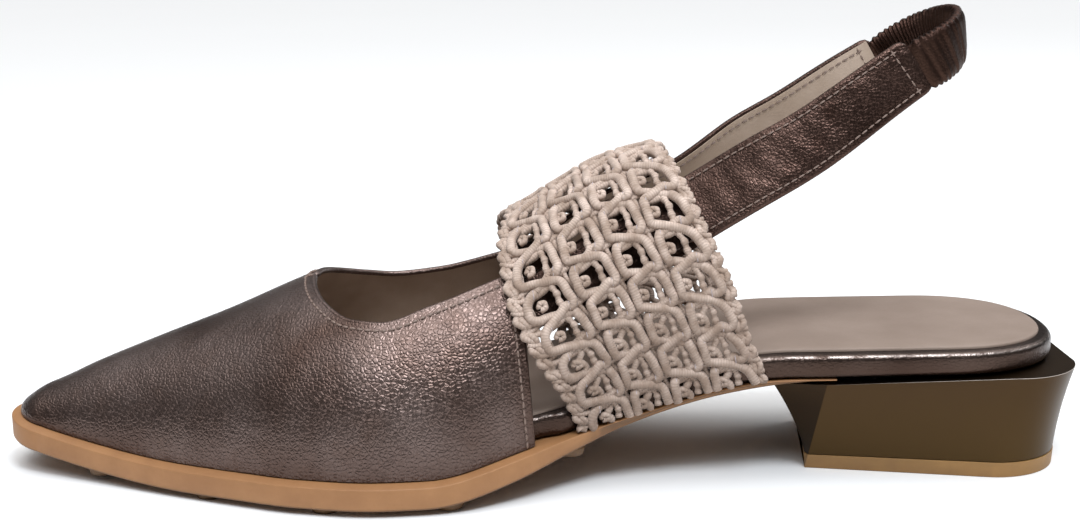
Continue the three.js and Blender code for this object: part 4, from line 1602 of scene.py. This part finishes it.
@dataclass
class Vamp:
    """Closed forepart with its throat, folded edges, lining and stitches."""

    last: Last
    wall: float = 1.5
    leather: float = 0.8
    throat: float = 0.294
    rear: float = 0.507
    rear_lean: float = 0.095
    rear_top: tuple[float, float] = (0.676, 0.628)
    topline: tuple = (
        (0.297, 0.623, 0.626), (0.315, 0.584, 0.59), (0.342, 0.552, 0.559), (0.37, 0.548, 0.543),
        (0.414, 0.588, 0.556), (0.473, 0.653, 0.606), (0.493, 0.676, 0.628),
    )
    toe_rows: int = 70
    wing_rows: int = 80
    half_cells: int = 44
    path_steps: int = 90
    run_curve: float = 1.9
    under_skin: float = 0.05
    fold_inset: float = -0.72
    fold_half: float = 0.78
    fold_back: float = 0.35
    stitch_lift: float = 0.06
    topline_stitch: float = 1.9
    rear_stitch: float = 1.8
    stitch_pitch: float = 1.85
    stitch_half: float = 0.3

    def top_share(self, side: Side, x: Points) -> Points:
        """Share of the arc at which the topline lies.

        Args:
            side: Which side of the shoe.
            x: Places along the shoe.

        Returns:
            Shares from the ridge (0) to the foot (1).
        """
        last = self.last
        line = columns(self.topline)[0 if side is Side.INNER else 1]
        along = last.along_at(x)
        ridge = last.instep_height * last.shapes["height"](along)
        wanted = last.instep_height * line(along)
        opened = np.clip((along - self.throat) / (self.topline[0][0] - self.throat), 0, 1)
        return last.share_at(x, lerp(ridge, np.minimum(wanted, ridge), opened))

    def rear_x(self, z: float) -> float:
        """Place of the rear edge at a height."""
        foot_x = float(self.last.x_at(self.rear))
        return foot_x - self.rear_lean * (z - float(self.last.foot(foot_x)))

    def wing(self, side: Side, run: float, down: Points) -> tuple[Points, Points]:
        """A row of a wing.

        Args:
            side: Which wing.
            run: From the throat (0) to the rear edge (1).
            down: From the topline (0) to the foot (1).

        Returns:
            Places and shares of the row.
        """
        throat_x = float(self.last.x_at(self.throat))
        top = self.rear_top[0 if side is Side.INNER else 1]
        corner = self.rear_x(self.last.instep_height * top)
        top_share = float(self.top_share(side, np.array(lerp(throat_x, corner, run))))
        share = lerp(top_share, 1.0, down)
        end = lerp(corner, float(self.last.x_at(self.rear)), down)
        return lerp(throat_x, end, run), side.value * share

    def grid(self, distance: float) -> Points:
        """The vamp's grid of points at a distance outside the last.

        Args:
            distance: How far outside, below 0 for inside.

        Returns:
            Rows from the tip back, each from the inner foot to the outer.
        """
        last = self.last
        throat_x = float(last.x_at(self.throat))
        down = np.linspace(0, 1, self.half_cells + 1)
        rows = []
        for x in round_stations(last.tip, throat_x, last.crown_closure, 0, self.toe_rows):
            share = np.concatenate([-down[::-1], down])
            rows.append(last.offset(np.full(len(share), x), share, distance))
        for i in range(1, self.wing_rows + 1):
            run = (i / self.wing_rows) ** self.run_curve
            inner = self.wing(Side.INNER, run, down)
            outer = self.wing(Side.OUTER, run, down)
            x = np.concatenate([inner[0][::-1], outer[0]])
            share = np.concatenate([inner[1][::-1], outer[1]])
            rows.append(last.offset(x, share, distance))
        return np.array(rows)

    def shell(self, name: str, outside: float, inside: float) -> Object:
        """One layer of the vamp between two distances from the last.

        Args:
            name: The piece's name.
            outside: Distance of its outer face.
            inside: Distance of its inner face.

        Returns:
            The piece.
        """
        outer, inner = self.grid(outside), self.grid(inside)
        return wall_object(name, outer, inner, lambda i, j: j == self.half_cells and i >= self.toe_rows)

    def topline_path(self, below: float, lift: float) -> Points:
        """A path along the topline, round the throat.

        Args:
            below: Distance below the edge, along the surface.
            lift: Distance outside the last.

        Returns:
            The path from the inner rear corner to the outer one.
        """
        last = self.last
        sides = []
        for side in (Side.INNER, Side.OUTER):
            places = []
            for i in range(self.path_steps + 1):
                run = (i / self.path_steps) ** self.run_curve
                x, share = self.wing(side, run, np.array([0.0]))
                places.append((float(x[0]), float(share[0])))
            sides.append(np.array(places))
        places = np.concatenate([sides[0][::-1], sides[1][1:]])
        edge = last.offset(places[:, 0], places[:, 1], lift)
        if below == 0:
            return edge
        tangent = unit(np.gradient(edge, axis=0))
        normal = last.normal(places[:, 0], places[:, 1])
        return edge + unit(np.cross(normal, tangent)) * below

    def rear_path(self, side: Side, before: float, lift: float) -> Points:
        """A path down the rear edge, a distance ahead of it.

        Args:
            side: Which side of the shoe.
            before: Distance ahead of the edge.
            lift: Distance outside the last.

        Returns:
            The path.
        """
        down = np.linspace(0.0, 0.985, 50)
        x, share = self.wing(side, 1.0, down)
        return self.last.offset(x - before, share, lift)

    def build(self, finishes: Finishes, cord: CordTree, stitches: StitchTree) -> None:
        """Makes and dresses the vamp's pieces.

        Args:
            finishes: The materials.
            cord: The tree that sweeps cord.
            stitches: The tree that sets stitches.
        """
        dress(self.shell("vamp_leather", 0.0, -self.leather), finishes.leather, "metallic_leather", "vamp")
        lining = self.shell("vamp_lining", -self.leather - self.under_skin, -self.wall)
        dress(lining, finishes.lining, "sock_leather")
        edges = [self.topline_path(0.0, self.fold_inset)]
        edges += [self.rear_path(side, self.fold_back, self.fold_inset) for side in Side]
        radii = [np.full(len(path), self.fold_half) for path in edges]
        lines = line_object("vamp_folded_edge", edges, radii)
        folded = cord.run(lines, {"Sides": 12, "Material": finishes.leather})
        dress(folded, None, "metallic_leather")
        rows = [self.topline_path(self.topline_stitch, self.stitch_lift)]
        rows += [self.rear_path(side, self.rear_stitch, self.stitch_lift) for side in Side]
        values = {
            "Pitch": self.stitch_pitch * MM,
            "Half thickness": self.stitch_half * MM,
            "Material": finishes.stitch,
        }
        dress(stitches.run(line_object("vamp_stitches", rows), values), None, "metallic_leather")


@dataclass
class InstepBand:
    """Crocheted band: chains of wrapped cord that meander between columns of holes."""

    last: Last
    rows: int = 16
    across_first: float = -0.34
    across_pitches: float = 4.76
    phase: float = 0.3
    loops: float = 2.2
    half_cord: float = 1.14
    lift: float = 0.4
    crest_rise: float = 0.8
    packed_inner: int = 3
    packed_outer: int = 6
    low_bars: float = -0.62
    bar_height: float = 1.62
    link_height: float = 1.45
    curl_radius: float = 0.07
    half_curl: float = 0.7
    half_side: float = 0.8
    half_under: float = 0.9
    half_packing: float = 0.85
    half_rib: float = 0.72
    half_column: float = 0.66
    half_edge: float = 0.8
    half_tie: float = 0.09
    side_cord: tuple = (
        (0.66, -0.42, 0.8), (0.7, -0.27, 1.15), (0.71, -0.1, 0.95), (0.73, 0.06, 1.15),
        (0.71, 0.2, 0.95), (0.68, 0.36, 0.8),
    )
    under_cord: tuple = ((0.2, 0.33, 0.5), (0.4, 0.31, 0.75), (0.6, 0.38, 0.6), (0.85, 0.47, 0.4))
    packing: tuple = (
        (0.36, -0.42, 0.6), (0.5, -0.2, 0.95), (0.44, 0.02, 1.1), (0.56, 0.2, 0.9), (0.5, 0.42, 0.6),
    )
    front_rib: tuple = ((-0.28, -0.12, 0.7), (-0.1, -0.3, 1.15), (0.14, -0.36, 1.1))
    rear_rib: tuple = ((0.05, 0.3, 1.1), (0.2, 0.16, 1.15), (0.36, 0.1, 0.7))
    tie: tuple = ((-0.03, -0.1, 1.9), (0.0, -0.03, 2.44), (0.01, 0.03, 2.44), (0.03, 0.1, 1.9))
    edges: tuple = (
        (0.0, 0.545, 0.721), (0.1, 0.53, 0.705), (0.25, 0.507, 0.69), (0.5, 0.483, 0.664),
        (0.75, 0.477, 0.646), (1.0, 0.488, 0.632),
    )

    def __post_init__(self) -> None:
        """Works out even steps of girth along the band's middle."""
        self.front, self.back = columns(self.edges)
        shares = np.linspace(-1, 1, 401)
        middle = self.last.point(self.x_of(shares, np.full(401, 0.5)), shares)
        lengths = distances(middle)
        self.girth = lengths / lengths[-1]
        self.shares = shares
        self.row_share = 1 / (self.rows + 0.6)

    def x_of(self, share: Points, across: Points) -> Points:
        """Place along the shoe of a point across the band."""
        girth = 1 - np.abs(share)
        return self.last.x_at(lerp(self.front(girth), self.back(girth), across))

    def surface(self, columns_at: Points, rows_at: Points, height: Points) -> Points:
        """Points over the last from places in the pattern.

        Args:
            columns_at: Place across, in column pitches; bars stand at whole numbers.
            rows_at: Place along, in row pitches from the inner foot.
            height: Distance above the band's underside.

        Returns:
            The points.
        """
        across = (columns_at - self.across_first) / self.across_pitches
        girth = np.clip(rows_at * self.row_share, 0.0, 1.0)
        share = np.interp(girth, self.girth, self.shares)
        crest = self.crest_rise * np.exp(-(((girth - 0.5) / 0.1) ** 2))
        return self.last.offset(self.x_of(share, across), share, self.lift + height + crest)

    def chain(self, gap: int, start: int) -> Points:
        """Pattern points of one chain between two columns of bars.

        Args:
            gap: The column of bars on its front side.
            start: Row of its first bar; odd chains run under even ones.

        Returns:
            Rows of column, row and height.
        """
        low = 0.0 if start % 2 == 0 else self.low_bars
        left = -0.16 if gap == 0 else 0.0
        right = 0.14 if gap == 3 else 0.0
        bar, mid = self.bar_height, self.link_height
        loop = [
            (0.78, -0.37, mid + low), (0.87 + right * 0.6, -0.44, mid + 0.1),
            (0.95 + right, -0.34, bar), (0.945 + right, -0.12, bar),
            (0.93 + right * 0.7, 0.12, bar), (0.9 + right * 0.3, 0.28, bar - 0.1),
            (0.8, 0.4, mid + low), (0.56, 0.5, mid + low), (0.33, 0.6, mid + low),
            (0.2 + left * 0.5, 0.66, mid), (0.17 + left, 0.8, bar), (0.19 + left, 1.02, bar),
            (0.2 + left * 0.6, 1.22, bar), (0.25, 1.35, mid), (0.36, 1.4, mid + low),
            (0.5, 1.48, mid + low), (0.66, 1.56, mid + low),
        ]
        points = []
        for turn in range(-1, self.rows // 2 + 2):
            points += [(gap + c, start + 2 * turn + r, h) for c, r, h in loop]
        return np.array(points)

    def clipped(self, pattern: Points, fine: int) -> list[Points]:
        """Smooths a pattern path and keeps the stretches that lie on the band.

        Args:
            pattern: Rows of column, row and height.
            fine: Samples for each row given.

        Returns:
            The stretches as paths over the last.
        """
        smooth = smooth_path(pattern, len(pattern) * fine)
        inside = (smooth[:, 1] > 0.02) & (smooth[:, 1] < 1 / self.row_share - 0.02)
        breaks = np.flatnonzero(np.diff(inside.astype(int))) + 1
        parts = np.split(np.arange(len(smooth)), breaks)
        kept = [smooth[p] for p in parts if inside[p[0]] and len(p) > 2]
        return [self.surface(p[:, 0], p[:, 1], p[:, 2]) for p in kept]

    def curl(self, column: float, row: float) -> Points:
        """Pattern points of the small ring beside a pair of bars.

        Args:
            column: Place across, in column pitches.
            row: Place along, in row pitches.

        Returns:
            Rows of column, row and height.
        """
        turn = np.linspace(-2.4, 3.3, 12)
        return np.column_stack([
            column + 0.35 + self.curl_radius * np.cos(turn),
            row - 0.04 + self.curl_radius * 1.3 * np.sin(turn),
            1.15 + 0.3 * np.cos(turn * 0.5),
        ])

    def knot(self, table: tuple, column: float, row: float) -> Points:
        """Pattern points of a small cord, moved to its hole."""
        return np.array(table) + (column, row, 0.0)

    def row_cord(self, row: float) -> Points:
        """Pattern points of a cord laid across the band between two rows of holes.

        Args:
            row: Place along, in row pitches.

        Returns:
            Rows of column, row and height.
        """
        across = np.arange(-0.3, 4.4, 0.12)
        wave = np.sin(across * 2 * math.pi)
        height = 0.55 + 0.12 * np.cos(across * 4 * math.pi)
        return np.column_stack([across, row + 0.52 + 0.05 * wave, height])

    def column_cord(self, column: int) -> Points:
        """Pattern points of a cord laid along the band under its pairs of bars.

        Args:
            column: Place across, in column pitches.

        Returns:
            Rows of column, row and height.
        """
        rows = np.arange(0, 1 / self.row_share, 0.12)
        wave = np.sin(rows * 2 * math.pi)
        height = 0.5 + 0.1 * np.cos(rows * 4 * math.pi)
        return np.column_stack([column + 0.07 + 0.04 * wave, rows, height])

    def edge_cord(self, front: bool) -> list[Points]:
        """Scalloped cords along one edge of the band, as pattern points.

        Args:
            front: Whether it is the front edge.

        Returns:
            The inner and the outer cord.
        """
        base = -0.13 if front else 4.16
        out = -1 if front else 1
        rows = np.arange(0, 1 / self.row_share, 1 / 20)
        turn = rows * 2 * math.pi * self.loops
        inner = np.column_stack([base + out * 0.03 * np.sin(turn), rows, 1.0 + 0.35 * np.cos(turn)])
        outer = np.column_stack([
            base + out * (0.11 + 0.06 * np.sin(turn)), rows, 0.95 + 0.35 * np.sin(turn + 1.0),
        ])
        return [inner, outer]

    def cords(self) -> tuple[list[Points], list[Points]]:
        """Every cord of the band as paths and half thicknesses.

        Returns:
            The paths, and the half thickness along each.
        """
        paths: list[Points] = []
        radii: list[Points] = []

        def keep(made: list[Points], half: float, knots: float = 0.0) -> None:
            """Adds paths with one half thickness, knotted by a share of it.

            Args:
                made: The paths.
                half: Half thickness.
                knots: Share of it that swells and shrinks.
            """
            for path in made:
                steps = np.arange(len(path))
                paths.append(path)
                radii.append(half * (1 + knots * np.sin(steps * 1.3)))

        for gap in range(4):
            for start in (0, 1):
                keep(self.clipped(self.chain(gap, start) + (0, self.phase, 0), 4), self.half_cord)
        for row in range(-1, self.rows + 1):
            at = row + self.phase
            for column in range(4):
                keep(self.clipped(self.curl(column, at), 2), self.half_curl, 0.1)
                keep(self.clipped(self.knot(self.side_cord, column, at), 3), self.half_side, 0.18)
                keep(self.clipped(self.knot(self.under_cord, column, at), 3), self.half_under, 0.08)
                if not self.packed_inner <= row < self.rows - self.packed_outer:
                    keep(self.clipped(self.knot(self.packing, column, at), 3), self.half_packing, 0.12)
            for part in (0.0, 0.34, 0.67):
                keep(self.clipped(self.knot(self.front_rib, 0, at + part), 3), self.half_rib)
                keep(self.clipped(self.knot(self.rear_rib, 4, at + part), 3), self.half_rib)
        for row in range(-1, self.rows + 1):
            keep(self.clipped(self.row_cord(row + self.phase), 1), self.half_rib, 0.05)
        for column in range(5):
            keep(self.clipped(self.column_cord(column), 1), self.half_column, 0.05)
        for front in (True, False):
            for pattern in self.edge_cord(front):
                keep(self.clipped(pattern, 1), self.half_edge, 0.06)
        return paths, radii

    def ties(self) -> tuple[list[Points], list[Points]]:
        """White threads that hold the chains where they cross.

        Returns:
            The paths, and the half thickness along each.
        """
        paths, radii = [], []
        for row in range(self.rows):
            at = row + self.phase
            for column in range(4):
                for c, r in ((0.27, 0.33), (0.83, 0.6)):
                    for path in self.clipped(self.knot(self.tie, column + c, at + r), 2):
                        paths.append(path)
                        radii.append(np.full(len(path), self.half_tie))
        return paths, radii

    def build(self, finishes: Finishes, cord: CordTree) -> None:
        """Makes and dresses the band's pieces.

        Args:
            finishes: The materials.
            cord: The tree that sweeps cord.
        """
        lines = line_object("instep_band_cords", *self.cords())
        made = cord.run(lines, {"Sides": 8, "Material": finishes.cord})
        dress(made, None, "crochet_cord", "instep_band")
        lines = line_object("instep_band_ties", *self.ties())
        dress(cord.run(lines, {"Sides": 5, "Material": finishes.tie}), None, "crochet_cord")


@dataclass
class Sling:
    """Heel strap: two padded legs with lining and stitches, and the gathered elastic between them."""

    last: Last
    width: float = 16.4
    root_width: float = 11.0
    end_width: float = 13.6
    thickness: float = 1.8
    root: tuple = (
        (0.478, 0.575, 3.8, 0.9), (0.507, 0.61, 3.8, 0.9), (0.54, 0.668, 4.0, 0.9),
        (0.59, 0.757, 3.95, 0.95), (0.64, 0.85, 3.95, 0.95),
    )
    inner_leg: tuple = (
        (0.711, 0.256, 0.967, 25), (0.759, 0.26, 1.062, 21),
        (0.813, 0.251, 1.191, 15), (0.856, 0.237, 1.291, 10),
    )
    outer_leg: tuple = (
        (0.711, 0.256, 0.965, 25), (0.759, 0.26, 1.054, 21),
        (0.813, 0.251, 1.17, 15), (0.856, 0.237, 1.257, 10),
    )
    back: tuple[float, float, float] = (0.909, 1.37, 6.0)
    elastic_width: float = 12.0
    elastic_thickness: float = 2.9
    padding: float = 0.5
    steps: int = 150
    leg_round: float = 2.6
    crease_depth: float = 0.16
    groove_depth: float = 0.2
    groove_width: float = 0.45
    stitch_inset: float = 1.7
    stitch_pitch: float = 1.9
    stitch_half: float = 0.22
    stitch_start: int = 40
    stitch_end: int = 145
    lining_start: int = 26
    lining_end: int = 149
    lining_inset: float = 0.55
    lining_face: float = 0.28
    lining_section: tuple = (
        (-1.0, -1.02), (-1.0, -1.2), (-0.96, -1.34), (0.0, -1.42), (0.96, -1.34), (1.0, -1.2),
        (1.0, -1.02),
    )
    elastic_tuck: float = 1.5
    fine_pleat: tuple[float, float] = (0.24, 0.95)
    loose_pleat: tuple[float, float] = (0.17, 3.1)
    edge_pleat: tuple[float, float] = (0.22, 1.5)

    def leg(self, side: Side) -> tuple:
        """The table of one leg."""
        return self.inner_leg if side is Side.INNER else self.outer_leg

    def leg_points(self, side: Side) -> Points:
        """Control points of a leg's middle, each with its lean in radians.

        Args:
            side: Which side of the shoe.

        Returns:
            Rows of x, y, z and lean, from the root to the end.
        """
        last = self.last
        rows = []
        for along, height, depth, lie in self.root:
            x = np.array([float(last.x_at(along))])
            share = side.value * last.share_at(x, np.array([height * last.instep_height]))
            normal = last.normal(x, share)[0]
            centre = last.point(x, share)[0] - depth * normal
            rows.append((*centre, lie * math.asin(float(normal[2]))))
        for along, out, height, lean in self.leg(side):
            y, z = side.value * out * last.ball_width, height * last.instep_height
            rows.append((float(last.x_at(along)), y, z, math.radians(lean)))
        return np.array(rows)

    def frames(self, path: Points, sign: int) -> tuple[Points, Points, Points]:
        """Middles, across and outward directions along a sampled path with lean.

        Args:
            path: Rows of x, y, z and lean.
            sign: Which way is outwards.

        Returns:
            Middles, directions across and directions outwards.
        """
        centre = path[:, :3]
        forward = unit(np.gradient(centre, axis=0))
        out = unit(np.cross(forward, (0, 0, 1))) * sign
        up = unit(np.cross(out, forward))
        up *= np.where(up[:, 2:] < 0, -1, 1)
        cos, sin = np.cos(path[:, 3:]), np.sin(path[:, 3:])
        return centre, up * cos - out * sin, out * cos + up * sin

    def widths(self, t: Points) -> Points:
        """Width of a leg from its root (0) to its end (1)."""
        taper = (self.end_width - self.width) * blend(2 * t - 1)
        return lerp(self.root_width, self.width, blend(2.4 * t)) + taper

    def stretch(self, side: Side, first: int, end: int, inset: float) -> tuple[Points, ...]:
        """Part of a leg's middle, with its directions and half widths.

        Args:
            side: Which side of the shoe.
            first: First step of the leg.
            end: Step after the last.
            inset: Taken off each half width.

        Returns:
            Middles, directions across, directions outwards and half widths.
        """
        path = smooth_path(self.leg_points(side), self.steps)[first:end]
        half = 0.5 * self.widths(np.arange(first, end) / (self.steps - 1)) - inset
        return *self.frames(path, -side.value), half

    def leg_body(self, side: Side) -> Object:
        """The leather of one leg: padded, creased, with a rounded end.

        Args:
            side: Which side of the shoe.

        Returns:
            The piece.
        """
        steps, size = self.steps, 36
        centre, across, through, half = self.stretch(side, 0, steps, 0.0)
        w, h = oval(size, 0.42, 0.62)
        length = distances(centre)
        left = length[-1] - length
        end = np.sqrt(np.clip(1 - np.clip(1 - left / self.leg_round, 0, 1) ** 2, 0, 1))
        half = half * lerp(0.8, 1.0, end)
        pad = 0.5 * (self.thickness + self.padding) * lerp(0.55, 1.0, end)
        rings = []
        for k in range(steps):
            width = w * half[k]
            middle = np.clip(1 - np.abs(w) * 1.1, 0, 1)
            crease = self.crease_depth * np.sin(length[k] * 0.9 + 1.7 * np.sin(width * 0.5)) * middle
            from_stitch = (half[k] - np.abs(width)) - self.stitch_inset
            groove = self.groove_depth * np.exp(-((from_stitch / self.groove_width) ** 2))
            relief = np.sign(h) * (crease - groove) * np.abs(h) ** 2
            out = h * pad[k] * (1 - 0.12 * np.abs(w) ** 3) + relief
            rings.append(centre[k] + width[:, None] * across[k] + out[:, None] * through[k])
        name = f"sling_leg_{side.name.lower()}"
        return mesh_object(name, np.concatenate(rings), ring_faces(steps, size))

    def lining(self, side: Side) -> Object:
        """The lining strip on a leg's inner face.

        Args:
            side: Which side of the shoe.

        Returns:
            The piece.
        """
        span = (self.lining_start, self.lining_end)
        centre, across, through, half = self.stretch(side, *span, self.lining_inset)
        rings = []
        for k in range(len(centre)):
            wide, out = half[k] * across[k], through[k]
            rings.append([centre[k] + w * wide + h * out for w, h in self.lining_section])
        name = f"sling_lining_{side.name.lower()}"
        return mesh_object(name, np.concatenate(rings), ring_faces(len(rings), len(rings[0])))

    def stitch_paths(self, side: Side) -> list[Points]:
        """Stitch rows along both edges of a leg, outside and inside, and across its end.

        Args:
            side: Which side of the shoe.

        Returns:
            The rows as paths.
        """
        span = (self.stitch_start, self.stitch_end)
        centre, across, through, half = self.stretch(side, *span, self.stitch_inset)
        face = 0.5 * (self.thickness + self.padding)
        outside, inside = face - 0.02, -(face + self.lining_face)
        rows = []
        for edge in (-1, 1):
            rows.append(centre + edge * half[:, None] * across + outside * through)
            rows.append(centre + edge * (half - 0.2)[:, None] * across + inside * through)
        wide = np.linspace(-1, 1, 12)[:, None] * half[-1] * across[-1]
        for depth in (outside, inside):
            rows.append(centre[-1] + wide + depth * through[-1])
        return rows

    def elastic(self) -> Object:
        """The gathered tube round the back, pleated finely inside and loosely outside.

        Returns:
            The piece.
        """
        last = self.last
        inner, outer = self.inner_leg[-1], self.outer_leg[-1]
        back_x = float(last.x_at(self.back[0]))
        back_z, back_lean = self.back[1] * last.instep_height, self.back[2]
        end_x = float(last.x_at(inner[0])) - self.elastic_tuck
        radius = inner[1] * last.ball_width
        angles = np.linspace(-math.pi / 2, math.pi / 2, 11)
        rows = []
        for k, angle in enumerate(angles):
            reach = max(math.cos(angle), 0.0) ** 0.8
            end_z = last.instep_height * lerp(inner[2], outer[2], k / 10) - self.elastic_tuck
            lean = math.radians(lerp(inner[3], back_lean, reach))
            x, z = lerp(end_x, back_x, reach), lerp(end_z, back_z, reach)
            rows.append((x, radius * math.sin(angle), z, lean))
        steps, size = 420, 28
        path = smooth_path(np.array(rows), steps)
        centre, across, through = self.frames(path, 1)
        length = distances(centre)
        w, h = oval(size, 0.5, 0.7)
        rings = []
        for k in range(steps):
            s = length[k]
            depth, pitch = self.fine_pleat
            fine = depth * math.sin(2 * math.pi * s / pitch + 0.8 * math.sin(s * 0.7))
            tilt = w * 0.9
            depth, pitch = self.loose_pleat
            loose = depth * np.sin(2 * math.pi * s / pitch + tilt + 1.9 * math.sin(s * 0.41))
            loose += 0.09 * np.sin(s * 3.7 + 3 * tilt)
            pleat = np.where(h > 0, loose, fine) * np.abs(h)
            depth, pitch = self.edge_pleat
            edge = depth * math.sin(2 * math.pi * s / pitch + math.sin(s)) * np.abs(w) ** 6 * np.sign(w)
            free = float(blend((min(s, length[-1] - s) - 1.0) / 3.0))
            wide = w * 0.5 * self.elastic_width * lerp(0.86, 1.0, free) + edge * free
            thick = h * 0.5 * self.elastic_thickness * lerp(0.5, 1.0, free) + pleat * free
            rings.append(centre[k] + wide[:, None] * across[k] + thick[:, None] * through[k])
        return mesh_object("heel_elastic_gathered", np.concatenate(rings), ring_faces(steps, size))

    def build(self, finishes: Finishes, stitches: StitchTree) -> None:
        """Makes and dresses the sling's pieces.

        Args:
            finishes: The materials.
            stitches: The tree that sets stitches.
        """
        for side in Side:
            name = side.name.lower()
            solid = f"sling_strap_{name}"
            dress(self.leg_body(side), finishes.strap_leather, "metallic_leather", solid)
            dress(self.lining(side), finishes.lining, "sock_leather")
            lines = line_object(f"sling_stitches_{name}", self.stitch_paths(side))
            values = {
                "Pitch": self.stitch_pitch * MM,
                "Half thickness": self.stitch_half * MM,
                "Material": finishes.stitch,
            }
            dress(stitches.run(lines, values), None, "metallic_leather")
        dress(self.elastic(), finishes.dark_leather, "gathered_elastic", "heel_elastic")


@dataclass(frozen=True)
class AreaLight:
    """A soft box."""

    name: str
    place: tuple[float, float, float]
    aim: tuple[float, float, float]
    size: tuple[float, float]
    watts: float
    tint: tuple[float, float, float] = (1.0, 1.0, 1.0)

    def build(self) -> None:
        """Adds the light, in metres."""
        data = bpy.data.lights.new(self.name, "AREA")
        data.shape = "RECTANGLE"
        data.size, data.size_y = self.size
        data.energy = self.watts
        data.color = self.tint
        light = linked(self.name, data)
        light.location = self.place
        aim = Vector(self.aim) - Vector(self.place)
        light.rotation_mode = "QUATERNION"
        light.rotation_quaternion = aim.to_track_quat("-Z", "Y")


@dataclass
class Studio:
    """Floor, lights and the photograph's camera."""

    camera_place: tuple[float, float, float] = (-97.16, -381.115, 131.03)
    camera_right: tuple[float, float, float] = (0.999701, -0.020926, -0.012613)
    camera_up: tuple[float, float, float] = (0.016816, 0.214788, 0.976516)
    focal_pixels: float = 1600.0
    image_width: float = 1080.0
    floor_size_m: float = 30.0
    floor_z: float = -0.02
    zenith: float = 3.2
    falloff: float = 5.0
    sides: float = 0.06

    def camera(self) -> None:
        """The camera at the photograph's place, turn and angle of view."""
        data = bpy.data.cameras.new("camera")
        data.sensor_width = 36.0
        data.lens = self.focal_pixels / self.image_width * data.sensor_width
        data.clip_start, data.clip_end = 0.02, 50.0
        right, up = Vector(self.camera_right), Vector(self.camera_up)
        turn = Matrix((right, up, right.cross(up))).transposed().to_4x4()
        camera = linked("camera", data)
        camera.matrix_world = Matrix.Translation(Vector(self.camera_place) * MM) @ turn
        bpy.context.scene.camera = camera

    def floor(self) -> None:
        """A plain pale floor just under the heel."""
        half = self.floor_size_m / 2 / MM
        turns = ((-1, -1), (1, -1), (1, 1), (-1, 1))
        sheet = np.array([(x * half, y * half, self.floor_z) for x, y in turns])
        floor = mesh_object("floor", sheet, [(0, 1, 2, 3)], smooth=False)
        n = ShaderNodes("floor_paper")
        tone = n.noise(n.place(), 400.0, 2.0)
        paper = n.mix(tone, (0.96, 0.96, 0.96, 1.0), (0.98, 0.98, 0.98, 1.0))
        floor.data.materials.append(n.principled(Base_Color=paper, Roughness=0.9))

    def lights(self) -> None:
        """Soft boxes, and a surround that is bright overhead and dark at the sides."""
        for light in (
            AreaLight("key", (-0.28, -0.62, 0.8), (-0.1, 0.0, 0.03), (0.4, 0.3), 1.4, (0.95, 0.97, 1.0)),
            AreaLight(
                "quarter", (0.09, -0.52, 0.9), (-0.09, 0.0, 0.03), (0.32, 0.24), 5.2, (0.86, 0.93, 1.0)
            ),
            AreaLight("rim", (0.6, 0.5, 0.7), (-0.05, 0.0, 0.05), (0.4, 0.4), 1.4),
        ):
            light.build()
        n = ShaderNodes("surround", surround=True)
        rise = n.add("ShaderNodeMath", {"operation": "MAXIMUM"}, n.part(n.place("Generated"), 2), 0.0)
        strength = rise**self.falloff * self.zenith + self.sides
        glow = n.add("ShaderNodeBackground", {}, Color=(0.98, 0.99, 1.0, 1.0), Strength=strength)
        n.tree.links.new(glow.socket, n.output.inputs["Surface"])
        bpy.context.scene.world = n.owner
        bpy.context.scene.view_settings.view_transform = "Standard"

    def build(self) -> None:
        """Adds camera, floor and lights."""
        self.camera()
        self.floor()
        self.lights()


def main() -> None:
    """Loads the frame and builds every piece."""
    logging.basicConfig(level=logging.INFO, format="%(name)s %(message)s")
    for stray in list(bpy.data.objects):
        bpy.data.objects.remove(stray)
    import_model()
    Studio().build()
    last = Last()
    finishes = Finishes()
    cord, stitches = CordTree(), StitchTree()
    Sole(last).build(finishes)
    Heel(last).build(finishes)
    Footbed(last).build(finishes)
    Vamp(last).build(finishes, cord, stitches)
    InstepBand(last).build(finishes, cord)
    Sling(last).build(finishes, stitches)


if __name__ == "__main__":
    main()
